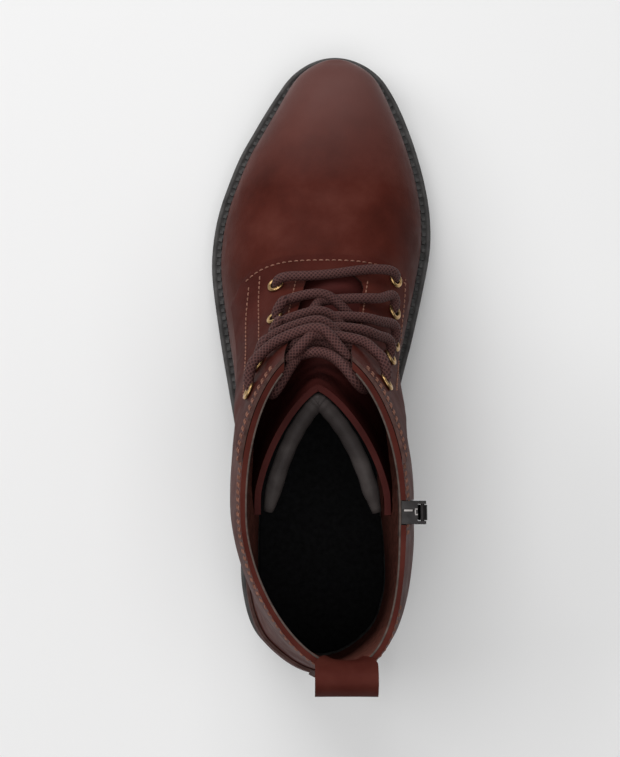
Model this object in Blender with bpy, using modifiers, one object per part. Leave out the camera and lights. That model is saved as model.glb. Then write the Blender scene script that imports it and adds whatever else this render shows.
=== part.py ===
# Left lace up ankle boot, in metres. +Y is the toe, +X the inner side of the foot, +Z up.
# The origin lies on the floor under the middle of the heel.
import math

import bpy
import bmesh
from mathutils import Vector

# Main sizes of the boot
LENGTH = 0.2804
BALL_WIDTH = 0.1014
HEEL_MIDDLE = 0.0350
SEAT_HEIGHT = 0.0340
BALL_HEIGHT = 0.0180
TOE_SPRING = 0.0085
COLLAR_HEIGHT = 0.1520
LEG_HALF_WIDTH = 0.0378
WALL = 0.0020
GAP = 0.0003

# Sole
SEAT_UNDERSIDE = 0.0195
WELT_THICK = 0.0040
WELT_SHOW = 0.0046
SOLE_TUCK = 0.0022
SOLE_STEP = 0.0009
STEP_HEIGHT = 0.0060
INSOLE_THICK = 0.0030
HEEL_BREAST = 0.2750
HEEL_TREAD_THICK = 0.0060
LUG_WIDTH = 0.0034
LUG_DEPTH = 0.0026
LUG_PITCH = 0.0135
LUG_ROWS = 7
HEEL_LUG_ROWS = 3

# Upper and what lies on it
OVERLAY = 0.0012
THROAT_HALF_WIDTH = 0.0125
THROAT_FRONT = 0.6150
THROAT_TOP_SHIFT = -0.0020
THROAT_LOW_SHIFT = 0.0050
FACING_FRONT = 0.6420
FACING_SIDE_OUTER = 0.0345
FACING_SIDE_INNER = 0.0385
FACING_LOW = 0.0360
FACING_SLOPE = 0.95
COUNTER_FRONT = 0.2050
FACING_BACK_TOP = 0.3200
FACING_BACK_LOW = 0.4700
BACK_SHIFT = 0.0080
BACK_SHIFT_REACH = 0.45
CROWN_SHIFT = 0.0050
DOME = 2.3

# Tongue
TONGUE_THICK = 0.0024
TONGUE_GAP_LOW = 0.0006
TONGUE_GAP_HIGH = 0.0062
TONGUE_SET_BACK = 0.0070
TONGUE_VEE = 0.15
TONGUE_SPREAD = 1.05
TONGUE_START = 6.60
TONGUE_END = 11.60
TONGUE_DROP = 0.50
TONGUE_REACH_LOW = 0.60
TONGUE_REACH_HIGH = 1.50
ROLL_RADIUS = 0.0029
ROLL_RISE = 0.985
ROLL_GAP = 0.0018

# Laces and eyelets
LACE_RADIUS = 0.0021
EYELET_SIDE = 0.0120
EYELET_ROWS = 5
EYELET_RADIUS = 0.0029
EYELET_RIM = 0.0008
LACE_LIFT = 0.0006
LACE_END = 0.0037
LACE_END_HEIGHT = 0.0004
LACE_TOP_DEPTH = 0.0050
LACE_CLIMB = 0.50
BAR_BOW = 1.26

# Zip and pull loop
ZIP_ALONG = 0.2560
ZIP_WIDTH = 0.0090
ZIP_FOOT = 0.0500
ZIP_TOP_GAP = 0.0027
TEETH_WIDTH = 0.0040
TEETH_RISE = 0.0007
SLIDER_TALL = 0.0100
SLIDER_SINK = 0.0028
CHEEK_WIDTH = 0.0012
PULL_WIDTH = 0.0056
PULL_TALL = 0.0180
PULL_THICK = 0.0014
PULL_KNUCKLE = 0.0017
PULL_HOLE = 0.0010
PULL_CLEAR = 0.0015
PIN_RADIUS = 0.0007
LOOP_WIDTH = 0.0225
LOOP_THICK = 0.0020
LOOP_RISE = 0.0120
LOOP_IN = 0.0060
LOOP_OUT = 0.0085
LOOP_IN_DROP = 0.90
LOOP_OUT_DROP = 1.70

# How finely the forms are cut into faces
RINGS = 20
ROUND = 40
SOLE_ROUND = 52

# Outline of the sole: share of LENGTH from the heel, then outer and inner half widths
# as shares of BALL_WIDTH.
OUTLINE = (
    (0.000, 0.000, 0.000),
    (0.028, 0.196, 0.200),
    (0.067, 0.297, 0.300),
    (0.131, 0.347, 0.352),
    (0.200, 0.354, 0.352),
    (0.280, 0.350, 0.330),
    (0.360, 0.372, 0.320),
    (0.440, 0.412, 0.350),
    (0.535, 0.459, 0.418),
    (0.636, 0.497, 0.480),
    (0.690, 0.494, 0.503),
    (0.745, 0.467, 0.500),
    (0.793, 0.422, 0.478),
    (0.839, 0.368, 0.444),
    (0.882, 0.299, 0.402),
    (0.931, 0.214, 0.340),
    (0.973, 0.122, 0.255),
    (1.000, -0.064, 0.064),
)

# Sections of the upper from the sole to the collar. Front and back points as shares of
# LENGTH and COLLAR_HEIGHT, how much of the leg's oval the section has, and that oval's
# half width as a share of LEG_HALF_WIDTH.
SECTIONS = (
    # front along, front up, back along, back up, leg, leg width
    (0.9890, 0.0000, 0.0170, 0.0000, 0.00, 1.00),
    (0.9880, 0.2050, 0.0136, 0.2760, 0.00, 1.00),
    (0.9750, 0.2570, 0.0114, 0.3290, 0.00, 1.00),
    (0.9420, 0.3020, 0.0121, 0.3750, 0.02, 1.00),
    (0.8810, 0.3400, 0.0150, 0.4210, 0.05, 1.00),
    (0.7920, 0.3790, 0.0178, 0.4670, 0.10, 1.00),
    (0.7060, 0.4200, 0.0214, 0.5130, 0.20, 1.00),
    (0.6450, 0.4620, 0.0250, 0.5660, 0.35, 1.00),
    (0.5960, 0.5240, 0.0292, 0.6250, 0.55, 1.00),
    (0.5560, 0.6050, 0.0335, 0.6910, 0.75, 1.00),
    (0.5230, 0.7040, 0.0381, 0.7760, 0.90, 0.97),
    (0.4940, 0.8360, 0.0430, 0.8820, 1.00, 0.90),
    (0.4700, 1.0000, 0.0500, 0.9870, 1.00, 0.80),
)


def smooth(low, high, value):
    """0 below low, 1 above high and an even curve between."""
    share = min(1.0, max(0.0, (value - low) / (high - low)))
    return share * share * (3 - 2 * share)


def mix(first, second, share):
    return first + (second - first) * share


def along(share):
    """Y at this share of the sole's length."""
    return share * LENGTH - HEEL_MIDDLE


def spline(rows, column, at):
    """Value of a column at a fractional row, on a smooth curve through the rows."""
    last = len(rows) - 1
    row = min(last - 1, max(0, int(at)))
    part = at - row
    before = rows[max(0, row - 1)][column]
    start = rows[row][column]
    end = rows[row + 1][column]
    after = rows[min(last, row + 2)][column]
    rise_start = (end - before) / 2
    rise_end = (after - start) / 2
    square = part * part
    cube = square * part
    return (
        start * (2 * cube - 3 * square + 1)
        + end * (3 * square - 2 * cube)
        + rise_start * (cube - 2 * square + part)
        + rise_end * (cube - square)
    )


def turn_of(share):
    return math.acos(1 - 2 * min(1.0, max(0.0, share)))


OUTLINE_TURNS = [turn_of(row[0]) for row in OUTLINE]


def outline_side(share, column, sign):
    """X of the sole's edge at a share of its length, curved evenly through both ends."""
    turn = turn_of(share)
    turns = [-OUTLINE_TURNS[1]] + OUTLINE_TURNS + [2 * math.pi - OUTLINE_TURNS[-2]]
    other = 3 - column
    values = [-OUTLINE[1][other]] + [row[column] for row in OUTLINE] + [-OUTLINE[-2][other]]
    place = 1
    while place < len(turns) - 3 and turn > turns[place + 1]:
        place += 1
    t0, t1, t2, t3 = turns[place - 1 : place + 3]
    v0, v1, v2, v3 = values[place - 1 : place + 3]
    width = t2 - t1
    part = (turn - t1) / width
    rise1 = (v2 - v0) / (t2 - t0) * width
    rise2 = (v3 - v1) / (t3 - t1) * width
    square = part * part
    cube = square * part
    value = (
        v1 * (2 * cube - 3 * square + 1)
        + v2 * (3 * square - 2 * cube)
        + rise1 * (cube - 2 * square + part)
        + rise2 * (cube - square)
    )
    return sign * value * BALL_WIDTH


def sole_top(share):
    fall = smooth(0.20, 0.62, share)
    rise = smooth(0.74, 1.06, share)
    return mix(SEAT_HEIGHT, BALL_HEIGHT, fall) + TOE_SPRING * rise


def sole_bottom(share):
    waist = 1 - smooth(0.30, 0.52, share)
    rise = smooth(0.76, 1.06, share)
    return SEAT_UNDERSIDE * waist + TOE_SPRING * 1.15 * rise


def share_of(y):
    return (y + HEEL_MIDDLE) / LENGTH


def sole_outline(inset, count=SOLE_ROUND):
    """Points of the sole's edge, moved inwards. The two sides pair up, heel first."""
    points = []
    for step in range(count):
        turn = 2 * math.pi * step / count
        share = (1 - math.cos(turn)) / 2
        inner = turn <= math.pi
        x = outline_side(share, 2, 1) if inner else outline_side(share, 1, -1)
        points.append(Vector((x, along(share))))
    moved = []
    for step, point in enumerate(points):
        tangent = points[(step + 1) % count] - points[step - 1]
        inwards = Vector((-tangent.y, tangent.x)).normalized()
        moved.append(point + inwards * inset)
    return moved


def collection(name, hidden=False):
    made = bpy.data.collections.new(name)
    bpy.context.scene.collection.children.link(made)
    made.hide_render = hidden
    return made


def material(name, colour, rough, metal=0.0):
    made = bpy.data.materials.new(name)
    made.use_nodes = True
    shader = made.node_tree.nodes["Principled BSDF"]
    shader.inputs["Base Color"].default_value = (*colour, 1)
    shader.inputs["Roughness"].default_value = rough
    shader.inputs["Metallic"].default_value = metal
    made.diffuse_color = (*colour, 1)
    return made


def add_object(name, mesh, look=None, smooth_faces=True):
    made = bpy.data.objects.new(name, mesh)
    if look is None:
        cutters.objects.link(made)
        made.hide_render = True
        made.display_type = "WIRE"
        return made
    boot.objects.link(made)
    own = look.copy()
    own.name = name + "_" + look.name
    mesh.materials.append(own)
    if smooth_faces:
        for face in mesh.polygons:
            face.use_smooth = True
    return made


def mesh_from(name, points, faces):
    mesh = bpy.data.meshes.new(name)
    mesh.from_pydata([tuple(point) for point in points], [], faces)
    mesh.update()
    return mesh


def face_out(mesh):
    shape = bmesh.new()
    shape.from_mesh(mesh)
    bmesh.ops.remove_doubles(shape, verts=shape.verts, dist=0.00001)
    bmesh.ops.recalc_face_normals(shape, faces=shape.faces)
    shape.to_mesh(mesh)
    shape.free()
    return mesh


def plate(name, levels, look, count=SOLE_ROUND):
    """A solid between levels, each an inset and a height along the foot."""
    points = []
    faces = []
    for inset, height in levels:
        for point in sole_outline(inset, count):
            points.append((point.x, point.y, height(share_of(point.y))))
    for level in range(len(levels) - 1):
        low = level * count
        high = low + count
        for step in range(count):
            after = (step + 1) % count
            faces.append((low + step, low + after, high + after, high + step))
    top = (len(levels) - 1) * count
    for step in range(count // 2):
        one = step
        two = step + 1
        other_one = (count - step) % count
        other_two = count - step - 1
        corners = list(dict.fromkeys((one, two, other_two, other_one)))
        faces.append(tuple(reversed(corners)))
        faces.append(tuple(top + corner for corner in corners))
    mesh = face_out(mesh_from(name, points, faces))
    return add_object(name, mesh, look)


def block(name, low, high, look=None):
    shape = bmesh.new()
    bmesh.ops.create_cube(shape, size=1)
    middle = (Vector(low) + Vector(high)) / 2
    size = Vector(high) - Vector(low)
    for vertex in shape.verts:
        vertex.co = Vector((vertex.co.x * size.x, vertex.co.y * size.y, vertex.co.z * size.z))
        vertex.co += middle
    mesh = bpy.data.meshes.new(name)
    shape.to_mesh(mesh)
    shape.free()
    return add_object(name, mesh, look, False)


def prism(name, outline, low, high):
    """An upright cutter from a plan outline."""
    count = len(outline)
    points = [(x, y, low) for x, y in outline] + [(x, y, high) for x, y in outline]
    faces = [tuple(range(count)), tuple(range(count, 2 * count))]
    for step in range(count):
        after = (step + 1) % count
        faces.append((step, after, count + after, count + step))
    return add_object(name, face_out(mesh_from(name, points, faces)))


def boolean(target, cutter, operation="DIFFERENCE"):
    made = target.modifiers.new(cutter.name, "BOOLEAN")
    made.operation = operation
    made.object = cutter
    made.solver = "EXACT"
    return made


def join(first, second):
    """Makes one solid of two, the second of which becomes its helper."""
    cutters.objects.link(second)
    boot.objects.unlink(second)
    second.hide_render = True
    second.display_type = "WIRE"
    boolean(first, second, "UNION")


def upper_point(section, turn):
    """A point of the upper's outer face: fractional row of SECTIONS, turn 0 at the back."""
    turn %= 2 * math.pi
    front_share = spline(SECTIONS, 0, section)
    back_share = spline(SECTIONS, 2, section)
    leg = spline(SECTIONS, 4, section)
    part = (1 - math.cos(turn)) / 2
    share = mix(back_share, front_share, part)
    base = 1 - smooth(0.0, 1.0, section)
    low_front = sole_top(front_share) + GAP
    low_back = sole_top(back_share) + GAP
    front_up = mix(spline(SECTIONS, 1, max(1.0, section)) * COLLAR_HEIGHT, low_front, base)
    back_up = mix(spline(SECTIONS, 3, max(1.0, section)) * COLLAR_HEIGHT, low_back, base)
    if section < 1:
        front_up = mix(low_front, SECTIONS[1][1] * COLLAR_HEIGHT, section)
        back_up = mix(low_back, SECTIONS[1][3] * COLLAR_HEIGHT, section)
    sag = sole_top(share) + GAP - mix(low_back, low_front, part)
    fade = max(0.0, 1 - section / 9)
    up = mix(back_up, front_up, part) + sag * fade
    # The foot's own width here, closed over the crown by its dome
    feather_side(0.5, 1)
    heel_end = FEATHER[1][0][0]
    toe_end = FEATHER[1][-1][0]
    foot_share = (share - back_share) / (SECTIONS[0][0] - back_share)
    foot_share = heel_end + (toe_end - heel_end) * min(1.0, max(0.0, foot_share))
    crown = crown_height(share)
    floor = sole_top(share) + GAP
    lift = min(1.0, max(0.0, (up - floor) / max(0.001, crown - floor)))
    dome = (1 - lift**DOME) ** (1 / DOME)
    inner = feather_side(foot_share, 1)
    outer = feather_side(foot_share, -1)
    towards_toe = min(1.0, max(0.0, (0.98 - share) / 0.22))
    foot_middle = (inner + outer) / 2 + CROWN_SHIFT * (1 - dome) * towards_toe
    foot_half = (inner - outer) / 2 * dome
    leg_middle = BACK_SHIFT * max(0.0, 1 - part / BACK_SHIFT_REACH) ** 1.5 + THROAT_TOP_SHIFT * part**3
    leg_half = LEG_HALF_WIDTH * spline(SECTIONS, 5, section) * math.sqrt(max(0.0, 1 - (2 * part - 1) ** 2))
    middle = mix(foot_middle, leg_middle, leg)
    half = mix(foot_half, leg_half, leg)
    sign = 1 if turn <= math.pi else -1
    if part >= 0.999999:
        half = 0.0
    return Vector((middle + sign * half, along(share), up))


FEATHER = {}


def feather_side(share, sign):
    """X of the feather edge, where the upper meets the welt, on one side."""
    if not FEATHER:
        count = 160
        show = [WELT_SHOW * (1 - 0.4 * smooth(0.90, 1.0, (1 - math.cos(math.pi * step / 80)) / 2))
                for step in range(81)]
        for side in (1, -1):
            rows = []
            for step in range(81):
                place = step if side == 1 else (count - step) % count
                point = sole_outline(show[step], count)[place]
                rows.append((share_of(point.y), point.x))
            FEATHER[side] = rows
    rows = FEATHER[sign]
    place = 0
    while place < len(rows) - 2 and rows[place + 1][0] < share:
        place += 1
    part = (share - rows[place][0]) / max(1e-9, rows[place + 1][0] - rows[place][0])
    return mix(rows[place][1], rows[place + 1][1], min(1.0, max(0.0, part)))


CROWN = []


def crown_height(share):
    """Height of the upper's ridge at this share of the length."""
    if not CROWN:
        for step in range(241):
            section = 12 * step / 240
            front = spline(SECTIONS, 0, section)
            up = spline(SECTIONS, 1, section) * COLLAR_HEIGHT
            if section < 1:
                up = mix(sole_top(front), SECTIONS[1][1] * COLLAR_HEIGHT, section)
            CROWN.append((front, up))
    if share <= CROWN[-1][0]:
        return CROWN[-1][1] + (CROWN[-1][0] - share) * LENGTH * 4
    for step in range(len(CROWN) - 1, 0, -1):
        high = CROWN[step]
        low = CROWN[step - 1]
        if high[0] <= share <= low[0]:
            part = (share - high[0]) / max(1e-9, low[0] - high[0])
            return mix(high[1], low[1], part)
    return CROWN[0][1]


def upper_normal(section, turn):
    step = 0.02
    last = len(SECTIONS) - 1
    low = max(0.0, section - step)
    high = min(float(last), section + step)
    rise = upper_point(high, turn) - upper_point(low, turn)
    around = upper_point(section, turn + step) - upper_point(section, turn - step)
    return around.cross(rise).normalized()


def ring_places():
    """Fractional sections, spaced evenly along the front and back lines together."""
    steps = 480
    last = len(SECTIONS) - 1
    run = [0.0]
    for step in range(steps):
        one = last * step / steps
        two = last * (step + 1) / steps
        front = (upper_point(two, math.pi) - upper_point(one, math.pi)).length
        back = (upper_point(two, 0) - upper_point(one, 0)).length
        run.append(run[-1] + front + back)
    places = []
    for ring in range(RINGS + 1):
        wanted = run[-1] * ring / RINGS
        step = 0
        while step < steps - 1 and run[step + 1] < wanted:
            step += 1
        part = (wanted - run[step]) / (run[step + 1] - run[step])
        places.append(last * (step + min(1.0, part)) / steps)
    return places


def skin(name, offset):
    """The upper's face as an open sheet, moved out by offset."""
    points = []
    for section in ring_places():
        for step in range(ROUND):
            turn = 2 * math.pi * step / ROUND
            points.append(upper_point(section, turn) + upper_normal(section, turn) * offset)
    faces = []
    for ring in range(RINGS):
        for step in range(ROUND):
            after = (step + 1) % ROUND
            low = ring * ROUND
            high = low + ROUND
            faces.append((low + step, low + after, high + after, high + step))
    return mesh_from(name, points, faces)


def shell(name, offset, thick, look):
    made = add_object(name, skin(name, offset), look)
    wall = made.modifiers.new("wall", "SOLIDIFY")
    wall.thickness = thick
    wall.offset = -1
    wall.use_even_offset = True
    return made


def tube(name, path, radius, look, sides=6, closed=False):
    """A round cord along a path, as a closed mesh."""
    curve = bpy.data.curves.new(name, "CURVE")
    curve.dimensions = "3D"
    curve.resolution_u = 1
    curve.bevel_depth = radius
    curve.bevel_resolution = sides // 2 - 2
    curve.use_fill_caps = not closed
    line = curve.splines.new("POLY")
    line.points.add(len(path) - 1)
    for point, place in zip(line.points, path):
        point.co = (*place, 1)
    line.use_cyclic_u = closed
    holder = bpy.data.objects.new(name + "_path", curve)
    mesh = bpy.data.meshes.new_from_object(holder)
    bpy.data.objects.remove(holder)
    mesh.name = name
    mesh.materials.clear()
    return add_object(name, face_out(mesh), look)


def rounded(points, parts=5):
    """A smooth path through the points."""
    rows = [tuple(point) for point in points]
    last = len(rows) - 1
    path = []
    for step in range(last * parts + 1):
        at = min(last - 1e-9, step / parts)
        path.append(Vector([spline(rows, axis, at) for axis in range(3)]))
    return path


for old in list(bpy.data.objects):
    bpy.data.objects.remove(old)
boot = collection("lace_up_ankle_boot")
cutters = collection("cutters", hidden=True)

LEATHER = material("burgundy_leather", (0.090, 0.022, 0.016), 0.45)
LEATHER_OVER = material("burgundy_overlay", (0.095, 0.024, 0.018), 0.45)
RUBBER = material("dark_rubber", (0.035, 0.037, 0.038), 0.6)
TEXTILE = material("dark_textile", (0.030, 0.028, 0.028), 0.85)
CORD = material("dark_cord", (0.050, 0.018, 0.018), 0.8)
BRASS = material("brass", (0.55, 0.36, 0.12), 0.35, 1.0)
BLACK_METAL = material("black_metal", (0.02, 0.02, 0.022), 0.35, 1.0)

# Sole: outsole with its step, the welt's rim plate, heel and heel tread, insole


def under_welt(share):
    return sole_top(share) - WELT_THICK - GAP


outsole = plate(
    "outsole",
    (
        (SOLE_TUCK + SOLE_STEP, sole_bottom),
        (SOLE_STEP, lambda share: sole_bottom(share) + 0.0016),
        (SOLE_STEP, lambda share: min(sole_bottom(share) + STEP_HEIGHT, under_welt(share) - 0.0012)),
        (0.0, lambda share: min(sole_bottom(share) + STEP_HEIGHT + 0.0008, under_welt(share) - 0.0006)),
        (0.0, under_welt),
    ),
    RUBBER,
)
lugs = block(
    "lug_grooves",
    (-BALL_WIDTH, along(0.500), -LUG_DEPTH),
    (BALL_WIDTH, along(0.500) + LUG_WIDTH, LUG_DEPTH),
)
repeat = lugs.modifiers.new("rows", "ARRAY")
repeat.count = LUG_ROWS
repeat.use_relative_offset = False
repeat.use_constant_offset = True
repeat.constant_offset_displace = (0, LUG_PITCH, 0)
boolean(outsole, lugs)

welt = plate(
    "welt",
    (
        (0.0008, lambda share: sole_top(share) - WELT_THICK),
        (0.0, lambda share: sole_top(share) - WELT_THICK + 0.0006),
        (0.0, lambda share: sole_top(share) - 0.0006),
        (0.0006, sole_top),
    ),
    RUBBER,
)


def heel_plate(name, levels, breast_lean):
    made = plate(name, levels, RUBBER)
    front = along(HEEL_BREAST)
    cutter = prism(
        name + "_breast",
        [(-0.1, front), (0.1, front), (0.1, front + LENGTH), (-0.1, front + LENGTH)],
        -0.01,
        0.06,
    )
    for vertex in cutter.data.vertices:
        vertex.co.y += vertex.co.z * breast_lean
    boolean(made, cutter)
    return made


heel_plate(
    "heel_block",
    (
        (0.0018, lambda share: HEEL_TREAD_THICK + GAP),
        (0.0012, lambda share: mix(HEEL_TREAD_THICK, SEAT_UNDERSIDE, 0.5)),
        (0.0010, lambda share: min(SEAT_UNDERSIDE, sole_bottom(share)) - GAP),
    ),
    0.12,
)
heel_tread = heel_plate(
    "heel_tread",
    (
        (0.0030, lambda share: 0.0),
        (0.0022, lambda share: 0.0010),
        (0.0018, lambda share: HEEL_TREAD_THICK),
    ),
    0.12,
)
heel_lugs = block(
    "heel_grooves",
    (-BALL_WIDTH, along(0.070), -LUG_DEPTH),
    (BALL_WIDTH, along(0.070) + LUG_WIDTH, LUG_DEPTH),
)
repeat = heel_lugs.modifiers.new("rows", "ARRAY")
repeat.count = HEEL_LUG_ROWS
repeat.use_relative_offset = False
repeat.use_constant_offset = True
repeat.constant_offset_displace = (0, LUG_PITCH * 1.3, 0)
boolean(heel_tread, heel_lugs)

plate(
    "insole",
    (
        (WELT_SHOW + WALL + 0.0022, lambda share: sole_top(share) + GAP),
        (WELT_SHOW + WALL + 0.0020, lambda share: sole_top(share) + GAP + INSOLE_THICK),
    ),
    TEXTILE,
)

# Upper: one shell, with the throat and the zip's slot cut out of it
upper = shell("upper", 0.0, WALL, LEATHER)


def throat_outline():
    """Plan of the throat: a rounded end towards the toe, the sides leaning with the laces."""
    half = THROAT_HALF_WIDTH
    far = along(THROAT_FRONT)
    low = along(0.30)
    outline = [(THROAT_TOP_SHIFT - half, low), (THROAT_TOP_SHIFT - half, along(SECTIONS[-1][0]))]
    for step in range(9):
        turn = math.pi * (1 - step / 8)
        outline.append((THROAT_LOW_SHIFT + half * math.cos(turn), far - half * 0.6 * (1 - math.sin(turn))))
    outline += [(THROAT_TOP_SHIFT + half, along(SECTIONS[-1][0])), (THROAT_TOP_SHIFT + half, low)]
    return outline


throat = prism("throat", throat_outline(), COLLAR_HEIGHT * 0.25, COLLAR_HEIGHT * 1.3)
boolean(upper, throat)
zip_y = along(ZIP_ALONG)
# Cuts for the zip start inside the leg and end beyond it
ZIP_CUT_INNER = LEG_HALF_WIDTH * 0.4
slot = block(
    "zip_slot",
    (ZIP_CUT_INNER, zip_y - ZIP_WIDTH / 2, ZIP_FOOT),
    (BALL_WIDTH, zip_y + ZIP_WIDTH / 2, COLLAR_HEIGHT * 1.2),
)
boolean(upper, slot)

# Facing: laid over the upper, around the throat and up the front of the leg
facing = shell("facing", OVERLAY + GAP, OVERLAY, LEATHER_OVER)


def facing_outline():
    front = along(FACING_FRONT)
    back = along(0.05)
    outline = [(-BALL_WIDTH / 2, back), (-BALL_WIDTH / 2, along(0.50))]
    outline.append((-FACING_SIDE_OUTER, front - 0.0100))
    for step in range(1, 12):
        part = step / 12
        x = mix(-FACING_SIDE_OUTER, FACING_SIDE_INNER, part)
        outline.append((x, front - 0.0080 * (2 * part - 1) ** 4))
    outline += [(FACING_SIDE_INNER, front - 0.0100), (BALL_WIDTH / 2, along(0.50))]
    outline.append((BALL_WIDTH / 2, back))
    return outline


facing_plan = prism("facing_plan", facing_outline(), FACING_LOW, COLLAR_HEIGHT * 1.3)
for corner in facing_plan.data.vertices:
    if corner.co.z < COLLAR_HEIGHT:
        corner.co.z += FACING_SLOPE * (along(FACING_FRONT) - corner.co.y)
boolean(facing, facing_plan, "INTERSECT")
back_cut = prism(
    "facing_back",
    [(-0.1, -0.3), (0.1, -0.3), (0.1, 0.0), (-0.1, 0.0)],
    COLLAR_HEIGHT * 0.1,
    COLLAR_HEIGHT * 1.3,
)
lean = (FACING_BACK_TOP - FACING_BACK_LOW) * LENGTH / (COLLAR_HEIGHT * 0.6)
for corner in back_cut.data.vertices:
    corner.co.y += along(FACING_BACK_TOP) + lean * (corner.co.z - COLLAR_HEIGHT)
boolean(facing, back_cut)
boolean(facing, throat)

# Counter: laid over the upper around the heel
counter = shell("counter", OVERLAY + GAP, OVERLAY, LEATHER_OVER)
heel_cut = prism(
    "counter_plan",
    [(-0.1, along(-0.1)), (0.1, along(-0.1)), (0.1, along(COUNTER_FRONT)), (-0.1, along(COUNTER_FRONT))],
    0.0,
    COLLAR_HEIGHT * 0.50,
)
for corner in heel_cut.data.vertices:
    corner.co.z -= 0.20 * (corner.co.y - along(0.0)) if corner.co.z > 0.05 else 0.0
boolean(counter, heel_cut, "INTERSECT")


# Tongue: a curved sheet inside the throat, further back from the facing as it rises


def tongue_gap(section, turn):
    rise = smooth(TONGUE_START, 10.5, section)
    away = min(math.pi / 2, abs(turn - math.pi) * TONGUE_SPREAD)
    centre = math.cos(away) + TONGUE_VEE * math.sin(2 * away) ** 2
    return mix(TONGUE_GAP_LOW, TONGUE_GAP_HIGH, rise) + TONGUE_SET_BACK * rise * rise * centre


def inside(section, turn, depth):
    return upper_point(section, turn) - upper_normal(section, turn) * depth


def tongue_place(rise, across, depth=0.0):
    """A point of the tongue's front face: rise 0 to 1, across -1 to 1."""
    reach = mix(TONGUE_REACH_LOW, TONGUE_REACH_HIGH, rise)
    turn = math.pi - across * reach
    end = TONGUE_END - TONGUE_DROP * across * across
    section = mix(TONGUE_START, end, rise)
    return inside(section, turn, WALL + tongue_gap(section, turn) + depth)


def sheet(name, rows, columns, place, thick, look, offset=-1):
    points = [place(row / rows, 2 * column / columns - 1) for row in range(rows + 1)
              for column in range(columns + 1)]
    faces = []
    for row in range(rows):
        for column in range(columns):
            low = row * (columns + 1) + column
            high = low + columns + 1
            faces.append((low + 1, low, high, high + 1))
    made = add_object(name, mesh_from(name, points, faces), look)
    wall = made.modifiers.new("wall", "SOLIDIFY")
    wall.thickness = thick
    wall.offset = offset
    wall.use_even_offset = True
    return made


sheet("tongue", 9, 12, tongue_place, TONGUE_THICK, LEATHER)
roll_depth = TONGUE_THICK + ROLL_GAP + ROLL_RADIUS
roll_path = [tongue_place(ROLL_RISE, step / 8 - 1, roll_depth) for step in range(17)]
tube("tongue_roll", roll_path, ROLL_RADIUS, TEXTILE, 8)

# Eyelets and laces, placed along the front of the throat

EYELET_WAY = THROAT_HALF_WIDTH + EYELET_SIDE
# Section of each eyelet, its distance from the throat's middle as a share of EYELET_WAY,
# and the section where its lace crosses the throat's edge, from the toe upwards. The last
# row is where the laces of the top eyelets end
EYELETS = (
    # outer section, outer share, outer edge, inner section, inner share, inner edge
    (7.60, 0.906, 7.60, 5.75, 1.053, 6.90),
    (9.05, 0.784, 8.90, 6.85, 1.114, 8.40),
    (10.05, 0.743, 10.00, 7.95, 1.184, 9.40),
    (10.60, 0.878, 10.50, 9.20, 1.130, 10.15),
    (11.05, 1.000, 10.95, 11.05, 1.000, 10.85),
    (11.60, 1.000, 11.50, 11.60, 1.000, 11.50),
)


def eyelet(row, sign):
    """Section, signed sideways distance and edge section of an eyelet, row 0 by the toe."""
    column = 3 if sign > 0 else 0
    section, share, edge = EYELETS[row][column : column + 3]
    return section, sign * share * EYELET_WAY, edge


def throat_middle(y):
    part = (share_of(y) - SECTIONS[-1][0]) / (THROAT_FRONT - SECTIONS[-1][0])
    return mix(THROAT_TOP_SHIFT, THROAT_LOW_SHIFT, min(1.0, max(0.0, part)))


def turn_at(section, side_way):
    """Turn on a section where the face is this far sideways of the throat's middle line."""
    if abs(side_way) < 1e-6:
        return math.pi
    sign = 1 if side_way > 0 else -1
    low = math.pi
    high = math.pi / 2 if sign > 0 else 3 * math.pi / 2
    for _ in range(30):
        middle = (low + high) / 2
        point = upper_point(section, middle)
        if abs(point.x - throat_middle(point.y)) < abs(side_way):
            low = middle
        else:
            high = middle
    return (low + high) / 2


def over(section, side_way, height):
    """A point at a section and a sideways distance, height above the upper's face."""
    turn = turn_at(section, side_way)
    return upper_point(section, turn) + upper_normal(section, turn) * height


FACE = OVERLAY + GAP
for row in range(EYELET_ROWS):
    for side, sign in (("inner", 1), ("outer", -1)):
        section, way, _ = eyelet(row, sign)
        turn = turn_at(section, way)
        normal = upper_normal(section, turn)
        middle = upper_point(section, turn) + normal * (FACE + GAP + EYELET_RIM)
        one = normal.cross(Vector((0, 0, 1))).normalized()
        two = normal.cross(one)
        path = []
        for step in range(10):
            angle = 2 * math.pi * step / 10
            path.append(middle + (one * math.cos(angle) + two * math.sin(angle)) * EYELET_RADIUS)
        tube("eyelet_%s_%d" % (side, row + 1), path, EYELET_RIM, BRASS, 4, closed=True)

ABOVE_EYELET = FACE + GAP + 2 * EYELET_RIM + GAP + LACE_RADIUS
ABOVE_FACE = FACE + LACE_RADIUS + LACE_LIFT


def strand(name, row, sign, centre_height):
    """One lace end: out of an eyelet, over the throat's middle and down at the other edge."""
    start, way, edge = eyelet(row, sign)
    end = mix(eyelet(row, -sign)[2], eyelet(row + 1, -sign)[2], LACE_CLIMB)
    side_way = abs(way)
    places = (
        (start, side_way + 0.0005, ABOVE_EYELET),
        (mix(start, edge, 0.15), side_way - 0.0035, ABOVE_EYELET + 0.0004),
        (mix(start, edge, 0.55), (side_way + THROAT_HALF_WIDTH) / 2, ABOVE_FACE + 0.0014),
        (edge, THROAT_HALF_WIDTH + 0.0010, ABOVE_FACE + 0.0010),
        (mix(edge, end, 0.5), 0.0, centre_height),
        (end, LACE_END - THROAT_HALF_WIDTH, LACE_END_HEIGHT),
    )
    points = [over(section, sign * side, height) for section, side, height in places]
    return tube(name, rounded(points, 3), LACE_RADIUS, CORD, 6)


def crossing(name, row):
    first = strand(name, row, -1, ABOVE_FACE + 0.0006)
    second = strand(name + "_under", row, 1, ABOVE_FACE + 0.0006 - 1.35 * LACE_RADIUS)
    join(first, second)


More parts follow.
